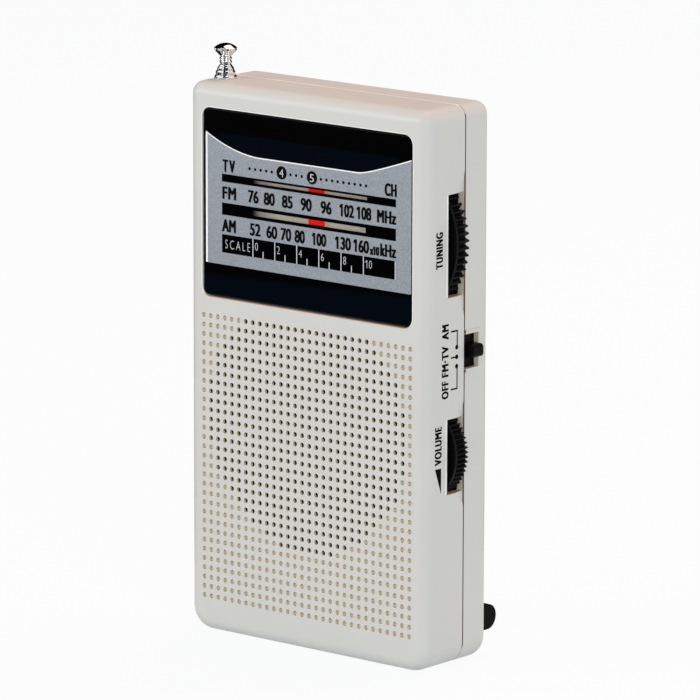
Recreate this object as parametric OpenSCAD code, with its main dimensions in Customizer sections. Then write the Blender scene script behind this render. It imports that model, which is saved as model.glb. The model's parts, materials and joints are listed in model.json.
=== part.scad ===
// Pocket radio with a side tuning wheel, a side volume wheel, a band switch and a telescopic aerial.
// Frame: +Z up, front towards -Y, right side +X, origin at the middle of the bottom face.
// Depths, named d, are counted from the front face towards the back.

/* [Case] */
// Width of the case
body_w = 64.2; // [58:0.1:72]
// Height of the case
body_h = 116.6; // [105:0.1:128]
// Depth of the case from front to back
body_d = 20.2; // [20:0.1:24]
// Depth of the front shell, up to the seam
front_d = 12.1; // [11:0.1:13.2]
// Thickness of the side walls
side_wall = 1.7; // [1.3:0.1:1.8]
// Thickness of the front wall
front_wall = 1.8; // [1.5:0.1:2]
// Thickness of the back wall
rear_wall = 1.6; // [1.3:0.1:1.8]
// Radius of the edges round the front face
front_edge_r = 2.6; // [2:0.1:3.4]
// Radius of the edges round the back face
rear_edge_r = 1.8; // [1:0.1:2.4]
// Radius of the upper corners seen from the front
corner_r_top = 2.7; // [2.7:0.1:6]
// Radius of the lower corners seen from the front
corner_r_bottom = 5; // [3.5:0.1:7]

/* [Grille] */
// Room between the grille and the sides of the case
grille_side = 4.26; // [3.6:0.02:9]
// Distance from the lens down to the top row of holes
grille_drop = 4.15; // [3:0.05:8]
// Height of the lowest row of holes
grille_low = 7.6; // [5:0.1:14]
// Distance between columns
col_pitch = 1.92; // [1.7:0.01:1.95]
// Distance between rows
row_pitch = 2; // [1.8:0.01:2.05]
// Diameter of a grille hole
hole_dia = 1.05; // [0.8:0.05:1.3]
// Room between the open holes and the loudspeaker's edge
open_margin = 1.6; // [1.3:0.1:8]
// Depth of the blind holes outside that field
dimple_depth = 0.4; // [0.3:0.05:0.45]
// Thickness of the front wall where the holes are open
grille_t = 0.6; // [0.6:0.1:1.2]

/* [Dial] */
// Width of the case beside the lens
lens_side = 3.8; // [3.6:0.1:6]
// Height of the lens
lens_h = 39.8; // [36:0.1:40]
// Height of the case above the lens
lens_top = 5.05; // [4:0.05:6]
// Corner radius of the lens
lens_r = 2.2; // [1:0.1:4]
// Thickness of the lens
lens_t = 1.2; // [1:0.05:1.4]
// Width of the bevel round the lens
lens_bevel = 0.35; // [0.1:0.05:0.6]
// Middle of the dial windows across the case
window_x = 1.05; // [0:0.05:1.5]
// Distance of the middle of the dial windows below the top of the lens
window_drop = 17.85; // [17.2:0.05:18.5]
// Width of the pointer bar
pointer_w = 3.9; // [2:0.1:5]
// How far the pointer bar stands left of the middle of the windows at rest
pointer_lead = 0.7; // [0:0.1:1]
// Height of the pointer bar
pointer_h = 10; // [8:0.1:11]

/* [Dial drive] */
// Module of the dial gears
gear_module = 0.5; // [0.48:0.01:0.5]
// Teeth on the tuning wheel's gear
drive_teeth = 33; // [31:1:35]
// Teeth on the idler gear
idler_teeth = 23; // [21:1:25]
// Play between meshing teeth, measured along the pitch line
gear_play = 0.16; // [0.1:0.02:0.24]

/* [Wheels] */
// Radius of the tuning wheel over its teeth
tuning_r = 17.5; // [16.5:0.1:17.6]
// Distance of the tuning wheel's axis below the top of the case
tuning_drop = 28.3; // [27.8:0.1:28.8]
// Teeth round the tuning wheel
tuning_teeth = 71; // [40:1:90]
// Radius of the volume wheel over its teeth
volume_r = 10.4; // [9:0.1:10.8]
// Height of the volume wheel's axis
volume_z = 44.6; // [43:0.1:46]
// Teeth round the volume wheel
volume_teeth = 63; // [40:1:80]
// Width of both wheels
wheel_w = 3.9; // [3.4:0.1:4]
// Room in front of each wheel in its slot
slot_lead = 1.1; // [0.3:0.1:1.2]
// Width of the smooth lip in front of a wheel's teeth
wheel_lip = 0.5; // [0.3:0.1:1]
// How far the wheels stand out of the side
wheel_proud = 1.5; // [0.8:0.1:2]
// Depth of the teeth round the tuning wheel
tuning_tooth = 1.15; // [0.5:0.05:1.3]
// Depth of the teeth round the volume wheel
volume_tooth = 0.75; // [0.4:0.05:1]
// Length of the slot for the tuning wheel
tuning_slot = 21.2; // [20:0.1:22.5]
// Length of the slot for the volume wheel
volume_slot = 15.6; // [14.5:0.1:17]
// Length of the finger dish at the tuning wheel
tuning_dish = 31; // [26:0.5:33]
// Length of the finger dish at the volume wheel
volume_dish = 22.5; // [19:0.5:24]
// Depth of the finger dishes
dish_depth = 1; // [0.5:0.1:1.1]

/* [Band switch] */
// Height of the band switch above the middle between the two wheels
switch_shift = -0.65; // [-1.5:0.05:0.2]
// Travel of the knob from the middle to each end
switch_travel = 2; // [1:0.1:2.2]
// Size of the knob along its travel
knob_h = 2.7; // [2:0.1:3.2]
// Size of the knob across its travel
knob_w = 3.1; // [2:0.1:3.3]
// How far the knob stands out of the side
knob_proud = 1.8; // [1:0.1:2.5]

/* [Aerial] */
// Distance of the aerial's axis from the left side of the case
aerial_side = 4.3; // [4.2:0.1:4.7]
// Depth of the aerial's axis behind the front face
aerial_d = 7; // [6.9:0.05:7.2]
// Diameter of the innermost rod
rod_dia = 2.3; // [1.8:0.1:2.3]
// Wall of each aerial tube
tube_wall = 0.25; // [0.2:0.01:0.25]
// Diameter of the tip
tip_dia = 4.8; // [3:0.1:6]
// Height of the tip
tip_h = 2.6; // [2.2:0.1:4]
// Length of rod between the tubes and the tip
neck_h = 2; // [1.8:0.1:6]

/* [Loudspeaker] */
// Room between the loudspeaker and the side walls
speaker_side = 1.9; // [1.8:0.1:4]
// How far the loudspeaker reaches up behind the lens
speaker_lap = 4.25; // [2:0.05:5]
// Height of the loudspeaker's lower edge
speaker_low = 19; // [18.6:0.1:24]
// Room between the magnet and the volume wheel
magnet_gap = 2; // [1:0.1:5]
// Depth of the magnet
magnet_t = 5; // [3:0.1:5.6]

/* [Battery bay] */
// Diameter of a cell
cell_dia = 10.5; // [10.5:0.1:10.6]
// Length of a cell over its cap
cell_len = 44.5; // [43:0.1:45]
// Room for the spring and contact plates beside a cell
contact_room = 5.5; // [5:0.1:6]
// Thickness of the bay's walls
bay_wall = 1.2; // [1:0.1:1.3]
// Turns of a cell spring
spring_turns = 4; // [3:1:5]

/* [Strap lug] */
// Height of the lug's middle
lug_z = 7.95; // [7:0.1:12]
// Height of the lug
lug_h = 5.3; // [4:0.1:7]
// How far the lug stands out of the back
lug_proud = 5; // [4.2:0.1:7]
// Thickness of the lug
lug_t = 3.4; // [3.2:0.1:3.6]
// Distance of the lug's middle from the right side
lug_side = 3.4; // [3.4:0.1:4]
// Diameter of the eye for the strap
eye_dia = 2; // [1.4:0.1:2]

/* [Hidden] */
$fn = 48;

// Small sizes that many pieces share
seam_groove = 0.2;
skin = 0.05;
slip = 0.15;
gap = 0.3;
over = 1;
right = body_w / 2;

// Lens, windows and wheels, placed from the top and the sides
lens_w = body_w - 2 * lens_side;
lens_z = body_h - lens_top - lens_h;
window_z = lens_z + lens_h - window_drop;
tuning_z = body_h - tuning_drop;
switch_z = (tuning_z + volume_z) / 2 + switch_shift;

// Depth stack behind the dial, from the front face backwards
lens_sink = 0.15;
recess_d = lens_sink + lens_t;
ledge_t = 1.1;
ledge_d = recess_d + ledge_t;
pointer_t = 0.6;
pointer_d = ledge_d + 0.25;
backing_d = pointer_d + pointer_t + 0.25;
backing_t = 0.65;
backing_back = backing_d + backing_t;
rack_d = backing_back + 0.2;
wheel_d = front_d - gap - wheel_w;
wheel_back = front_d - gap;
slot_d = wheel_d - slot_lead;
gear_t = 1.6;
gear_d = wheel_d - gear_t;
rack_t = gear_d - 0.4 - rack_d;

// Depth stack in front of the back wall
back_inside = body_d - rear_wall;
board_t = 1.2;
board_back_room = 0.8;
board_back = back_inside - board_back_room;
board_d = board_back - board_t;

// Wheels and dial drive
tuning_x = right + wheel_proud - tuning_r;
volume_x = right + wheel_proud - volume_r;
shaft_r = 3;
hub_bore_depth = 2.9;
wheel_rim = 1.8;
lip_drop = 0.1;
wheel_web = 0.9;
head_sink = 1.4;
volume_hub_d = wheel_d - 1.3;
volume_hub_r = 5;
wheel_head_t = 1.1;
drive_turn = drive_teeth % 2 == 0 ? 180 / drive_teeth : 0;
drive_r = gear_module * drive_teeth / 2;
idler_r = gear_module * idler_teeth / 2;
addendum = 0.9 * gear_module;
dedendum = 1.2 * gear_module;
tooth_pitch = PI * gear_module;
press_angle = 20;
idler_x = tuning_x - drive_r - idler_r;
washer_t = 0.5;
idler_mesh = gear_t - washer_t - gap;
idler_d = rack_d + skin;
idler_t = gear_d + idler_mesh - idler_d;
idler_post_r = 1.2;
dial_half_turn = 90;
pointer_travel = drive_r * PI * dial_half_turn / 180;
rack_z = tuning_z + idler_r;
rack_bar_z = rack_z + dedendum;
rack_bar_h = 1.6;
rack_reach = pointer_travel + 1.2;
rack_phase = (ceil(idler_teeth / 4) - idler_teeth / 4) * tooth_pitch;
arm_h = 1;
arm_w = 2.4;
arm_z = rack_bar_z + rack_bar_h / 2;
window_half = pointer_travel + pointer_w / 2 + 0.2;
opening_half_w = window_half + 3.4;
opening_half_h = pointer_h / 2 + 1.2;
backing_half_w = opening_half_w + 4.6;
backing_half_h = pointer_h / 2 + 5.8;
keeper_x = [window_x - 20, window_x - 10];
keeper_w = 4;
stake_r = 0.9;
stake_x = opening_half_w + 2.6;
stake_z = backing_half_h - 1.8;

// Battery bay and its door
bay_half = (cell_len + contact_room) / 2;
bay_low_z = 2.9;
cell_play = 0.3;
bay_floor_d = back_inside - cell_dia - 3 * cell_play;
cell_d = bay_floor_d + cell_play + cell_dia / 2;
lower_cell_z = bay_low_z + cell_play + cell_dia / 2;
upper_cell_z = lower_cell_z + cell_dia + cell_play;
bay_top_z = upper_cell_z + cell_dia / 2 + cell_play;
plate_t = 0.4;
cap_len = 1;
cap_r = 1.9;
spring_wire_r = 0.3;
door_t = rear_wall - 2 * skin;
door_slip = 0.25;
door_half = bay_half + 0.9;
door_axis_d = back_inside + rear_wall / 2;
door_axis_z = bay_low_z + 1.3;
door_top_z = bay_top_z + 0.9;
door_pin_r = 0.5;
door_pin_len = 0.9;
door_rib_half = 7;
tail_notch = 2.2;
tail_half = 1;
tail_rise = 1.4;
plate_half = 4;

// Case screws, board screws and aerial boss
screw_r = 1.1;
post_r = 2.4;
boss_r = 2.7;
low_post_z = bay_top_z + bay_wall + post_r + 0.2;
case_posts = [[right - 6.1, body_h - 6.1], [right - 4.6, low_post_z], [4.6 - right, low_post_z]];
screw_head_r = 2;
screw_head_t = 1.4;
screw_head_d = back_inside - 1.2;
board_posts = [[10.1 - right, body_h - 41.6], [12.5 - right, body_h - 4.2]];
board_post_r = 2.2;
board_head_t = 0.6;

// Aerial sections, counted from the tip inwards
aerial_step = 2 * (tube_wall + skin);
function section_dia(k) = rod_dia + k * aerial_step;
base_r = section_dia(4) / 2;
base_top_z = body_h + 0.65;
section_tops = [0, base_top_z + 2.15, base_top_z + 1.75, base_top_z + 1, base_top_z];
tab_hole_z = low_post_z + 5.6;
tab_half = 2.8;
tab_t = 0.8;
base_foot_z = tab_hole_z + 3.2;
section_foot_z = base_foot_z + 1;
tip_z = section_tops[1] + neck_h;
aerial_ax = aerial_side - right;
tip_dome = 0.95;
tip_band = 0.55;
neck_rings = [0.6, 1.35];
ring_rise = 0.16;
tab_d = aerial_d - tab_t / 2;

// Loudspeaker stack
cloth_t = 0.25;
rim_d = front_wall + cloth_t;
rim_t = 1;
rim_w = 3;
basket_t = 0.6;
speaker_top = lens_z + speaker_lap;
speaker_r = min(right - side_wall - speaker_side, (speaker_top - speaker_low) / 2);
speaker_z = speaker_top - speaker_r;
open_field_r = speaker_r - open_margin;
magnet_r = norm([volume_x, volume_z - speaker_z]) - volume_r - magnet_gap;
basket_foot_d = wheel_d - slip;
basket_hole_r = 4;
seat_wall = 1;
clamp_r = speaker_r + 4.4;
clamp_angles = [45, 235, 305];
clamp_t = 0.8;
clamp_w = 5;
clamp_post_r = 1.9;
clamp_screw_r = 0.9;
clamp_d = rim_d + rim_t + skin;
clamp_back = clamp_d + clamp_t;
clamp_hole_d = front_wall - 0.4;
clamp_head_t = 0.8;

// Rows and columns of the grille
grille_top_z = lens_z - grille_drop;
grille_cols = floor((body_w - 2 * grille_side) / col_pitch + 0.01) + 1;
grille_rows = floor((grille_top_z - grille_low) / row_pitch + 0.01) + 1;

// Strap lug
lug_x = right - lug_side;
lug_stem_r = 1.2;
eye_wall = 0.7;

// Switch, jack and board pieces
knob_d = front_d + 2.5;
switch_slip = 0.25;
switch_half = knob_h / 2 + switch_travel + switch_slip;
switch_depth_half = knob_w / 2 + switch_slip;
switch_body_half = switch_half + 2.4;
switch_face_x = right - side_wall - 0.8;
switch_body_w = 8;
knob_foot_x = switch_face_x - 3.2;
knob_round = 0.8;
switch_wall = 0.9;
slide_t = 0.55;
slide_x = right - switch_wall - slip;
slide_half = switch_half + switch_travel + slip;
slide_d = front_d + switch_slip;
slide_back = knob_d + switch_depth_half + slip;
frame_w = 0.75;
frame_proud = 0.3;
jack_z = body_h - 56.6;
jack_d = front_d + 2.4;
jack_bore_r = 1.8;
jack_nose_r = 2.2;
jack_len = 12;
jack_half = 3.2;
jack_x = side_wall + 0.6 - right;
pot_r = right - side_wall - 0.2 - volume_x;
tuner_half = 10;
tuner_collar_t = 0.25;
tuner_collar_r = 4.4;
part_t = board_d - wheel_back - 2 * tuner_collar_t;
shaft_floor = 1.9;
pot_tab_half = 4.5;
pot_tab_reach = 1.4;

// Board pieces: places are counted from the left side and from the top
board_low_z = low_post_z + 3.2;
board_inset = side_wall + 1;
chip_at = [22.1, 51.1];
chip_size = [12, 7];
chip_t = 2.2;
chip_lift = 0.4;
chip_pins = 7;
chip_pin_pitch = 1.78;
chip_pin = [0.6, 0.9, 1.6];
can_x = 18.1;
can_drops = [16.6, 25.6, 34.6];
can_half = 3.5;
can_t = 6.6;
can_core_r = 2;
capacitor_at = [[10.1, 50.6], [10.1, 32.6], [10.1, 22.6], [28.1, 43.6], [38.1, 48.6]];
capacitor_r = 2.5;
capacitor_t = 6;
coil_x = 26.1;
coil_drops = [18.6, 25.6, 32.6];
coil_r = 2.2;
coil_bore_r = 1.3;
coil_t = 4;
filter_x = 20.1;
filter_drops = [40.1, 44.1];
filter_size = [6, 2.4];
filter_t = 4.2;

// Ferrite rod between the board's upper post and the upper case post
rod_r = 2.6;
rod_left = board_posts[1][0] + board_post_r + 0.4;
rod_len = case_posts[0][0] - boss_r - 2.3 - rod_left;
rod_z = body_h - 6.9;
rod_d = 9.6;
rod_lip = 0.7;
winding_t = 0.6;
windings = [[4, 8], [14, 5]];
cradle_w = 3;
cradle_end = 0.6;

// Cell springs
spring_len = contact_room - 2 * plate_t - 6 * skin - 2 * spring_wire_r;
spring_small_r = 2;
spring_big_r = 3.8;
rings_per_turn = 8;

// Wires
wire_r = 0.5;
wire_sides = 8;

function dy(d) = d - body_d / 2;
function span(middle, half) = [middle - half, middle + half];

// A front-view outline made solid between two depths
module slab(d0, d1) {
  translate([0, dy(d1), 0]) rotate([90, 0, 0]) linear_extrude(d1 - d0) children();
}

// A round peg along the depth
module peg(x, z, r, d0, d1) {
  translate([x, dy(d0), z]) rotate([-90, 0, 0]) cylinder(r = r, h = d1 - d0);
}

// A block between two corners
module block(x, d, z) {
  translate([x[0], dy(d[0]), z[0]]) cube([x[1] - x[0], d[1] - d[0], z[1] - z[0]]);
}

module round_rect(w, h, r) {
  square([w - 2 * r, h], center = true);
  square([w, h - 2 * r], center = true);
  for (sx = [-1, 1], sz = [-1, 1]) translate([sx * (w / 2 - r), sz * (h / 2 - r)]) circle(r);
}

// The case seen from the front, drawn in by an inset
module case_outline(inset) {
  w = body_w - 2 * inset;
  rt = max(corner_r_top - inset, 0.8);
  rb = max(corner_r_bottom - inset, 0.8);
  low = inset;
  top = body_h - inset;
  translate([-w / 2, low + rb]) square([w, top - low - rt - rb]);
  translate([rb - w / 2, low]) square([w - 2 * rb, top - low - rt]);
  translate([rt - w / 2, low + rb]) square([w - 2 * rt, top - low - rb]);
  for (s = [-1, 1]) {
    translate([s * (w / 2 - rb), low + rb]) circle(rb);
    translate([s * (w / 2 - rt), top - rt]) circle(rt);
  }
}

// Width or height of the case against its depth, with rounded edges at the front and the back
module edge_profile(w, d0, d1, front_r, back_r) {
  translate([-w / 2, dy(d0 + front_r)]) square([w, d1 - d0 - front_r - back_r]);
  if (front_r > 0) {
    translate([front_r - w / 2, dy(d0)]) square([w - 2 * front_r, d1 - d0 - back_r]);
    for (s = [-1, 1]) translate([s * (w / 2 - front_r), dy(d0 + front_r)]) circle(front_r);
  }
  if (back_r > 0) {
    translate([back_r - w / 2, dy(d0 + front_r)]) square([w - 2 * back_r, d1 - d0 - front_r]);
    for (s = [-1, 1]) translate([s * (w / 2 - back_r), dy(d1 - back_r)]) circle(back_r);
  }
}

// The outside of one shell: the front view, the plan and the side view meet in it
module case_form(d0, d1, front_r, back_r) intersection() {
  slab(d0, d1) case_outline(0);
  linear_extrude(body_h) edge_profile(body_w, d0, d1, front_r, back_r);
  translate([-right, 0, body_h / 2]) rotate([0, 90, 0]) linear_extrude(body_w)
    edge_profile(body_h, d0, d1, front_r, back_r);
}

// Slot and finger dish for one wheel in the right side of the front shell
module wheel_cut(z, slot_len, dish_len) {
  block([right - side_wall - over, right + over], [slot_d, front_d + over],
    [z - slot_len / 2, z + slot_len / 2]);
  dish_r = (pow(dish_len / 2, 2) + pow(dish_depth, 2)) / (2 * dish_depth);
  dish_angle = atan(dish_depth / (front_d - slot_d));
  translate([right - dish_depth, dy(front_d), z]) rotate([0, 0, dish_angle]) translate([dish_r, over, 0])
    rotate([90, 0, 0]) cylinder(r = dish_r, h = front_d, $fn = 96);
}

module grille_holes() {
  left_x = -(grille_cols - 1) * col_pitch / 2;
  for (c = [0 : grille_cols - 1], r = [0 : grille_rows - 1]) {
    x = left_x + c * col_pitch;
    z = grille_top_z - r * row_pitch;
    open = norm([x, z - speaker_z]) < open_field_r;
    peg(x, z, hole_dia / 2, -over, open ? front_wall + 0.2 : dimple_depth);
  }
}

// Places of the speaker clamps round the loudspeaker
module at_clamps() {
  for (a = clamp_angles)
    translate([clamp_r * cos(a), 0, speaker_z + clamp_r * sin(a)]) rotate([0, -a, 0]) children();
}

module front_case() color([0.86, 0.85, 0.82]) difference() {
  union() {
    difference() {
      case_form(0, front_d, front_edge_r, 0);
      slab(front_wall, front_d + over) case_outline(side_wall);
    }
    difference() {
      slab(front_wall - skin, ledge_d) translate([0, lens_z + lens_h / 2])
        square([lens_w + 2 * ledge_t, lens_h + 2 * ledge_t], center = true);
      peg(0, speaker_z, speaker_r + slip, front_wall, front_d);
    }
    for (p = case_posts) peg(p[0], p[1], post_r, front_wall - skin, front_d);
    for (p = board_posts) peg(p[0], p[1], board_post_r, front_wall - skin, board_d);
    for (sx = [-1, 1], sz = [-1, 1]) {
      peg(window_x + sx * stake_x, window_z + sz * stake_z, 2 * stake_r, ledge_d - skin, backing_d);
      peg(window_x + sx * stake_x, window_z + sz * stake_z, stake_r, ledge_d - skin, backing_back + gap);
    }
    difference() {
      peg(0, speaker_z, speaker_r + slip + seat_wall, front_wall - skin, rim_d + rim_t);
      peg(0, speaker_z, speaker_r + slip, 0, front_d);
      for (s = [-1, 1])
        block([s * right - side_wall, s * right + side_wall], [0, front_d], [0, body_h]);
    }
    at_clamps() peg(0, 0, clamp_post_r, front_wall - skin, clamp_d);
    peg(aerial_ax, tab_hole_z, 2, front_wall - skin, tab_d);
  }
  slab(-over, recess_d) translate([0, lens_z + lens_h / 2]) round_rect(lens_w, lens_h, lens_r);
  slab(0, ledge_d + over) translate([window_x, window_z])
    square([2 * opening_half_w, 2 * opening_half_h], center = true);
  grille_holes();
  intersection() {
    peg(0, speaker_z, open_field_r + hole_dia / 2 + slip, grille_t, front_wall + slip);
    block(span(0, right), [0, front_d], [0, grille_top_z + row_pitch / 2]);
  }
  wheel_cut(tuning_z, tuning_slot, tuning_dish);
  wheel_cut(volume_z, volume_slot, volume_dish);
  translate([aerial_ax, dy(aerial_d), body_h - 6]) cylinder(r = base_r + skin, h = 8);
  for (p = case_posts) peg(p[0], p[1], screw_r + skin, front_d - 6, front_d + over);
  for (p = board_posts) peg(p[0], p[1], screw_r + skin, board_d - 6, board_d + over);
  at_clamps() peg(0, 0, clamp_screw_r + skin, clamp_hole_d, clamp_d + over);
  peg(aerial_ax, tab_hole_z, screw_r + skin, front_wall + 0.3, tab_d + over);
}

module rear_case() color([0.84, 0.83, 0.80]) difference() {
  union() {
    difference() {
      union() {
        case_form(front_d, body_d, 0, rear_edge_r);
        block([right - side_wall / 2, right + frame_proud], [front_d, knob_d + switch_depth_half + frame_w],
          [switch_z - switch_half - frame_w, switch_z + switch_half + frame_w]);
      }
      slab(front_d - over, back_inside) case_outline(side_wall);
    }
    intersection() {
      block(span(0, bay_half + bay_wall), [bay_floor_d - bay_wall, back_inside], [0, bay_top_z + bay_wall]);
      slab(bay_floor_d - bay_wall - over, back_inside) case_outline(side_wall + gap);
    }
    block(span(0, bay_half + bay_wall), [front_d, back_inside + skin], [side_wall / 2, bay_low_z]);
    for (p = case_posts) peg(p[0], p[1], boss_r, front_d, back_inside + skin);
  }
  slab(front_d - over, front_d + seam_groove) difference() {
    translate([-body_w, -over]) square([2 * body_w, body_h + 2 * over]);
    case_outline(seam_groove);
  }
  block([-bay_half, bay_half], [bay_floor_d, body_d + over], [bay_low_z, bay_top_z]);
  block([-door_half - door_slip, door_half + door_slip], [back_inside, body_d + over],
    [door_axis_z - rear_wall / 2 - door_slip, door_top_z + door_slip]);
  translate([-door_half - door_pin_len - door_slip, dy(door_axis_d), door_axis_z]) rotate([0, 90, 0])
    cylinder(r = door_pin_r + skin, h = 2 * (door_half + door_pin_len + door_slip));
  for (p = case_posts) {
    peg(p[0], p[1], screw_r + skin, front_d - over, body_d + over);
    peg(p[0], p[1], screw_head_r + slip, screw_head_d, body_d + over);
  }
  block([right - side_wall - over, right + over], [front_d - over, knob_d + switch_depth_half],
    [switch_z - switch_half, switch_z + switch_half]);
  block([right - side_wall - over, right - switch_wall], [front_d - over, slide_back + slip],
    span(switch_z, slide_half + switch_travel + switch_slip));
  translate([-right - over, dy(jack_d), jack_z]) rotate([0, 90, 0])
    cylinder(r = jack_nose_r + skin, h = side_wall + 2 * over);
  for (s = [-1, 1]) translate([s * (bay_half - tail_notch / 2), 0, 0])
    block([-tail_notch / 2, tail_notch / 2], [cell_d - tail_half - slip, cell_d + tail_half + slip],
      [bay_top_z - over, bay_top_z + bay_wall + over]);
  peg(lug_x, lug_z, lug_stem_r + skin, back_inside - over, body_d + over);
}

module battery_door() color([0.84, 0.83, 0.80]) {
  block(span(0, door_half), [back_inside + skin, back_inside + skin + door_t], [door_axis_z, door_top_z]);
  translate([-door_half, dy(door_axis_d), door_axis_z]) rotate([0, 90, 0])
    cylinder(r = door_t / 2, h = 2 * door_half);
  translate([-door_half - door_pin_len, dy(door_axis_d), door_axis_z]) rotate([0, 90, 0])
    cylinder(r = door_pin_r, h = 2 * (door_half + door_pin_len));
  for (k = [0 : 3])
    block([-door_rib_half, door_rib_half], [body_d - 0.2, body_d + 0.35],
      [door_top_z - 2 - 1.6 * k, door_top_z - 1.2 - 1.6 * k]);
}

module dial_lens() color([0.1, 0.1, 0.12, 0.9]) intersection() {
  slab(lens_sink, recess_d) translate([0, lens_z + lens_h / 2])
    round_rect(lens_w - 2 * slip, lens_h - 2 * slip, lens_r - slip);
  lens_taper(lens_w, [0, 0, lens_z + lens_h / 2], lens_h);
  rotate([0, 90, 0]) lens_taper(lens_h, [-lens_z - lens_h / 2, 0, 0], lens_w);
}

// A bar whose front edges are bevelled, running along Z
module lens_taper(size, at, length) {
  half = size / 2 - slip;
  translate([at[0], dy(0), at[2] - length]) linear_extrude(2 * length) polygon([
    [-half + lens_bevel, lens_sink], [half - lens_bevel, lens_sink], [half, lens_sink + lens_bevel],
    [half, recess_d + over], [-half, recess_d + over], [-half, lens_sink + lens_bevel]]);
}

module dial_backing() color([0.72, 0.71, 0.66]) {
  difference() {
    slab(backing_d, backing_back) translate([window_x, window_z])
      square([2 * backing_half_w, 2 * backing_half_h], center = true);
    block([window_x - pointer_travel - arm_w / 2 - gap, window_x + pointer_travel + arm_w / 2 + gap],
      [backing_d - over, backing_back + over], [arm_z - arm_h / 2 - slip, arm_z + arm_h / 2 + slip]);
    for (sx = [-1, 1], sz = [-1, 1])
      peg(window_x + sx * stake_x, window_z + sz * stake_z, stake_r + skin, backing_d - over,
        backing_back + over);
  }
  rail_z = rack_bar_z + rack_bar_h + 0.2;
  block([window_x - backing_half_w + 0.5, window_x + backing_half_w - 4],
    [backing_back - skin, rack_d + rack_t], [rail_z, rail_z + 1]);
  for (x = keeper_x) {
    block([x, x + keeper_w], [rack_d + rack_t - skin, rack_d + rack_t + 1], [rail_z, rail_z + 1]);
    block([x, x + keeper_w], [rack_d + rack_t + 0.2, rack_d + rack_t + 1], [rail_z - 0.9, rail_z + skin]);
  }
  peg(idler_x, tuning_z, idler_post_r, backing_back - skin, idler_d + idler_t + washer_t + 0.1);
}

module dial_pointer() color([0.85, 0.08, 0.06]) {
  block(span(window_x - pointer_lead, pointer_w / 2), [pointer_d, pointer_d + pointer_t],
    [window_z - pointer_h / 2, window_z + pointer_h / 2]);
  block([window_x - arm_w / 2, window_x + arm_w / 2], [pointer_d + skin, rack_d + skin],
    [arm_z - arm_h / 2, arm_z + arm_h / 2]);
  block([idler_x - rack_reach, idler_x + rack_reach], [rack_d, rack_d + rack_t],
    [rack_bar_z - skin, rack_bar_z + rack_bar_h]);
  count = floor((rack_reach - tooth_pitch / 2) / tooth_pitch);
  slab(rack_d, rack_d + rack_t) for (k = [-count : count - 1])
    translate([idler_x - rack_phase + (k + 0.5) * tooth_pitch, rack_z]) rack_tooth();
}

// One rack tooth pointing down, with the pitch line at zero
module rack_tooth() {
  half = (tooth_pitch / 2 - gear_play) / 2;
  lean = tan(press_angle);
  polygon([[-half - dedendum * lean, dedendum], [-half + addendum * lean, -addendum],
    [half - addendum * lean, -addendum], [half + dedendum * lean, dedendum]]);
}

// Angle, in degrees, between the start of an involute and its point at radius r
function roll(r, base) = let (t = sqrt(max(pow(r / base, 2) - 1, 0))) t * 180 / PI - atan(t);

// Outline of an involute gear with a tooth on the +X axis
module gear_outline(teeth) {
  pitch_r = gear_module * teeth / 2;
  base = pitch_r * cos(press_angle);
  root = pitch_r - dedendum;
  tip = pitch_r + addendum;
  half = 90 / teeth - gear_play / pitch_r * 90 / PI / 2;
  steps = 4;
  radii = [for (i = [0 : steps]) max(base, root) + (tip - max(base, root)) * i / steps];
  flank = [for (r = radii) [r, half + roll(pitch_r, base) - roll(r, base)]];
  foot = [root, flank[0][1]];
  tooth = concat([[foot[0], -foot[1]]], [for (f = flank) [f[0], -f[1]]],
    [for (i = [steps : -1 : 0]) flank[i]], [foot]);
  polygon([for (k = [0 : teeth - 1], p = tooth) let (a = p[1] + k * 360 / teeth) p[0] * [cos(a), sin(a)]]);
}

module idler_gear() color([0.9, 0.88, 0.8]) difference() {
  slab(idler_d, idler_d + idler_t) translate([idler_x, tuning_z]) gear_outline(idler_teeth);
  peg(idler_x, tuning_z, idler_post_r + skin, 0, front_d);
}

module idler_washer() color([0.75, 0.75, 0.77]) difference() {
  peg(idler_x, tuning_z, 2 * idler_post_r, idler_d + idler_t + skin, idler_d + idler_t + skin + washer_t);
  peg(idler_x, tuning_z, idler_post_r + skin, 0, front_d);
}

// A toothed rim: every tooth rises to a narrow rounded tip
module ridged_disc(r, depth, teeth) {
  step = 360 / teeth;
  flank = [[0, 0], [0.45, 0.19], [0.82, 0.31], [0.98, 0.4],
    [0.98, 0.52], [0.82, 0.61], [0.45, 0.73], [0, 0.92]];
  polygon([for (k = [0 : teeth - 1], p = flank) let (a = (k + p[1]) * step)
    (r - depth * (1 - p[0])) * [cos(a), sin(a)]]);
}

// A thumb wheel: toothed rim, thin web, hub with a bore for the shaft and a screw hole
module thumb_wheel(x, z, r, depth, teeth, hub_r, hub_d) {
  inner_r = r - depth - wheel_rim;
  recess = (wheel_w - wheel_web) / 2;
  difference() {
    union() {
      slab(wheel_d + wheel_lip - skin, wheel_back) translate([x, z]) ridged_disc(r, depth, teeth);
      peg(x, z, r - lip_drop, wheel_d, wheel_d + wheel_lip);
      children();
    }
    difference() {
      union() {
        peg(x, z, inner_r, wheel_d - over, wheel_d + recess);
        peg(x, z, inner_r, wheel_back - recess, wheel_back + over);
      }
      peg(x, z, hub_r, 0, body_d);
    }
    peg(x, z, shaft_r + skin, wheel_back - hub_bore_depth, wheel_back + over);
    peg(x, z, screw_r + skin, 0, wheel_back);
    peg(x, z, screw_head_r + slip, 0, hub_d + head_sink);
  }
}

module tuning_wheel() color([0.13, 0.13, 0.14])
  thumb_wheel(tuning_x, tuning_z, tuning_r, tuning_tooth, tuning_teeth, drive_r - dedendum, gear_d)
    slab(gear_d, wheel_d + skin) translate([tuning_x, tuning_z]) rotate(drive_turn)
      gear_outline(drive_teeth);

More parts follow.
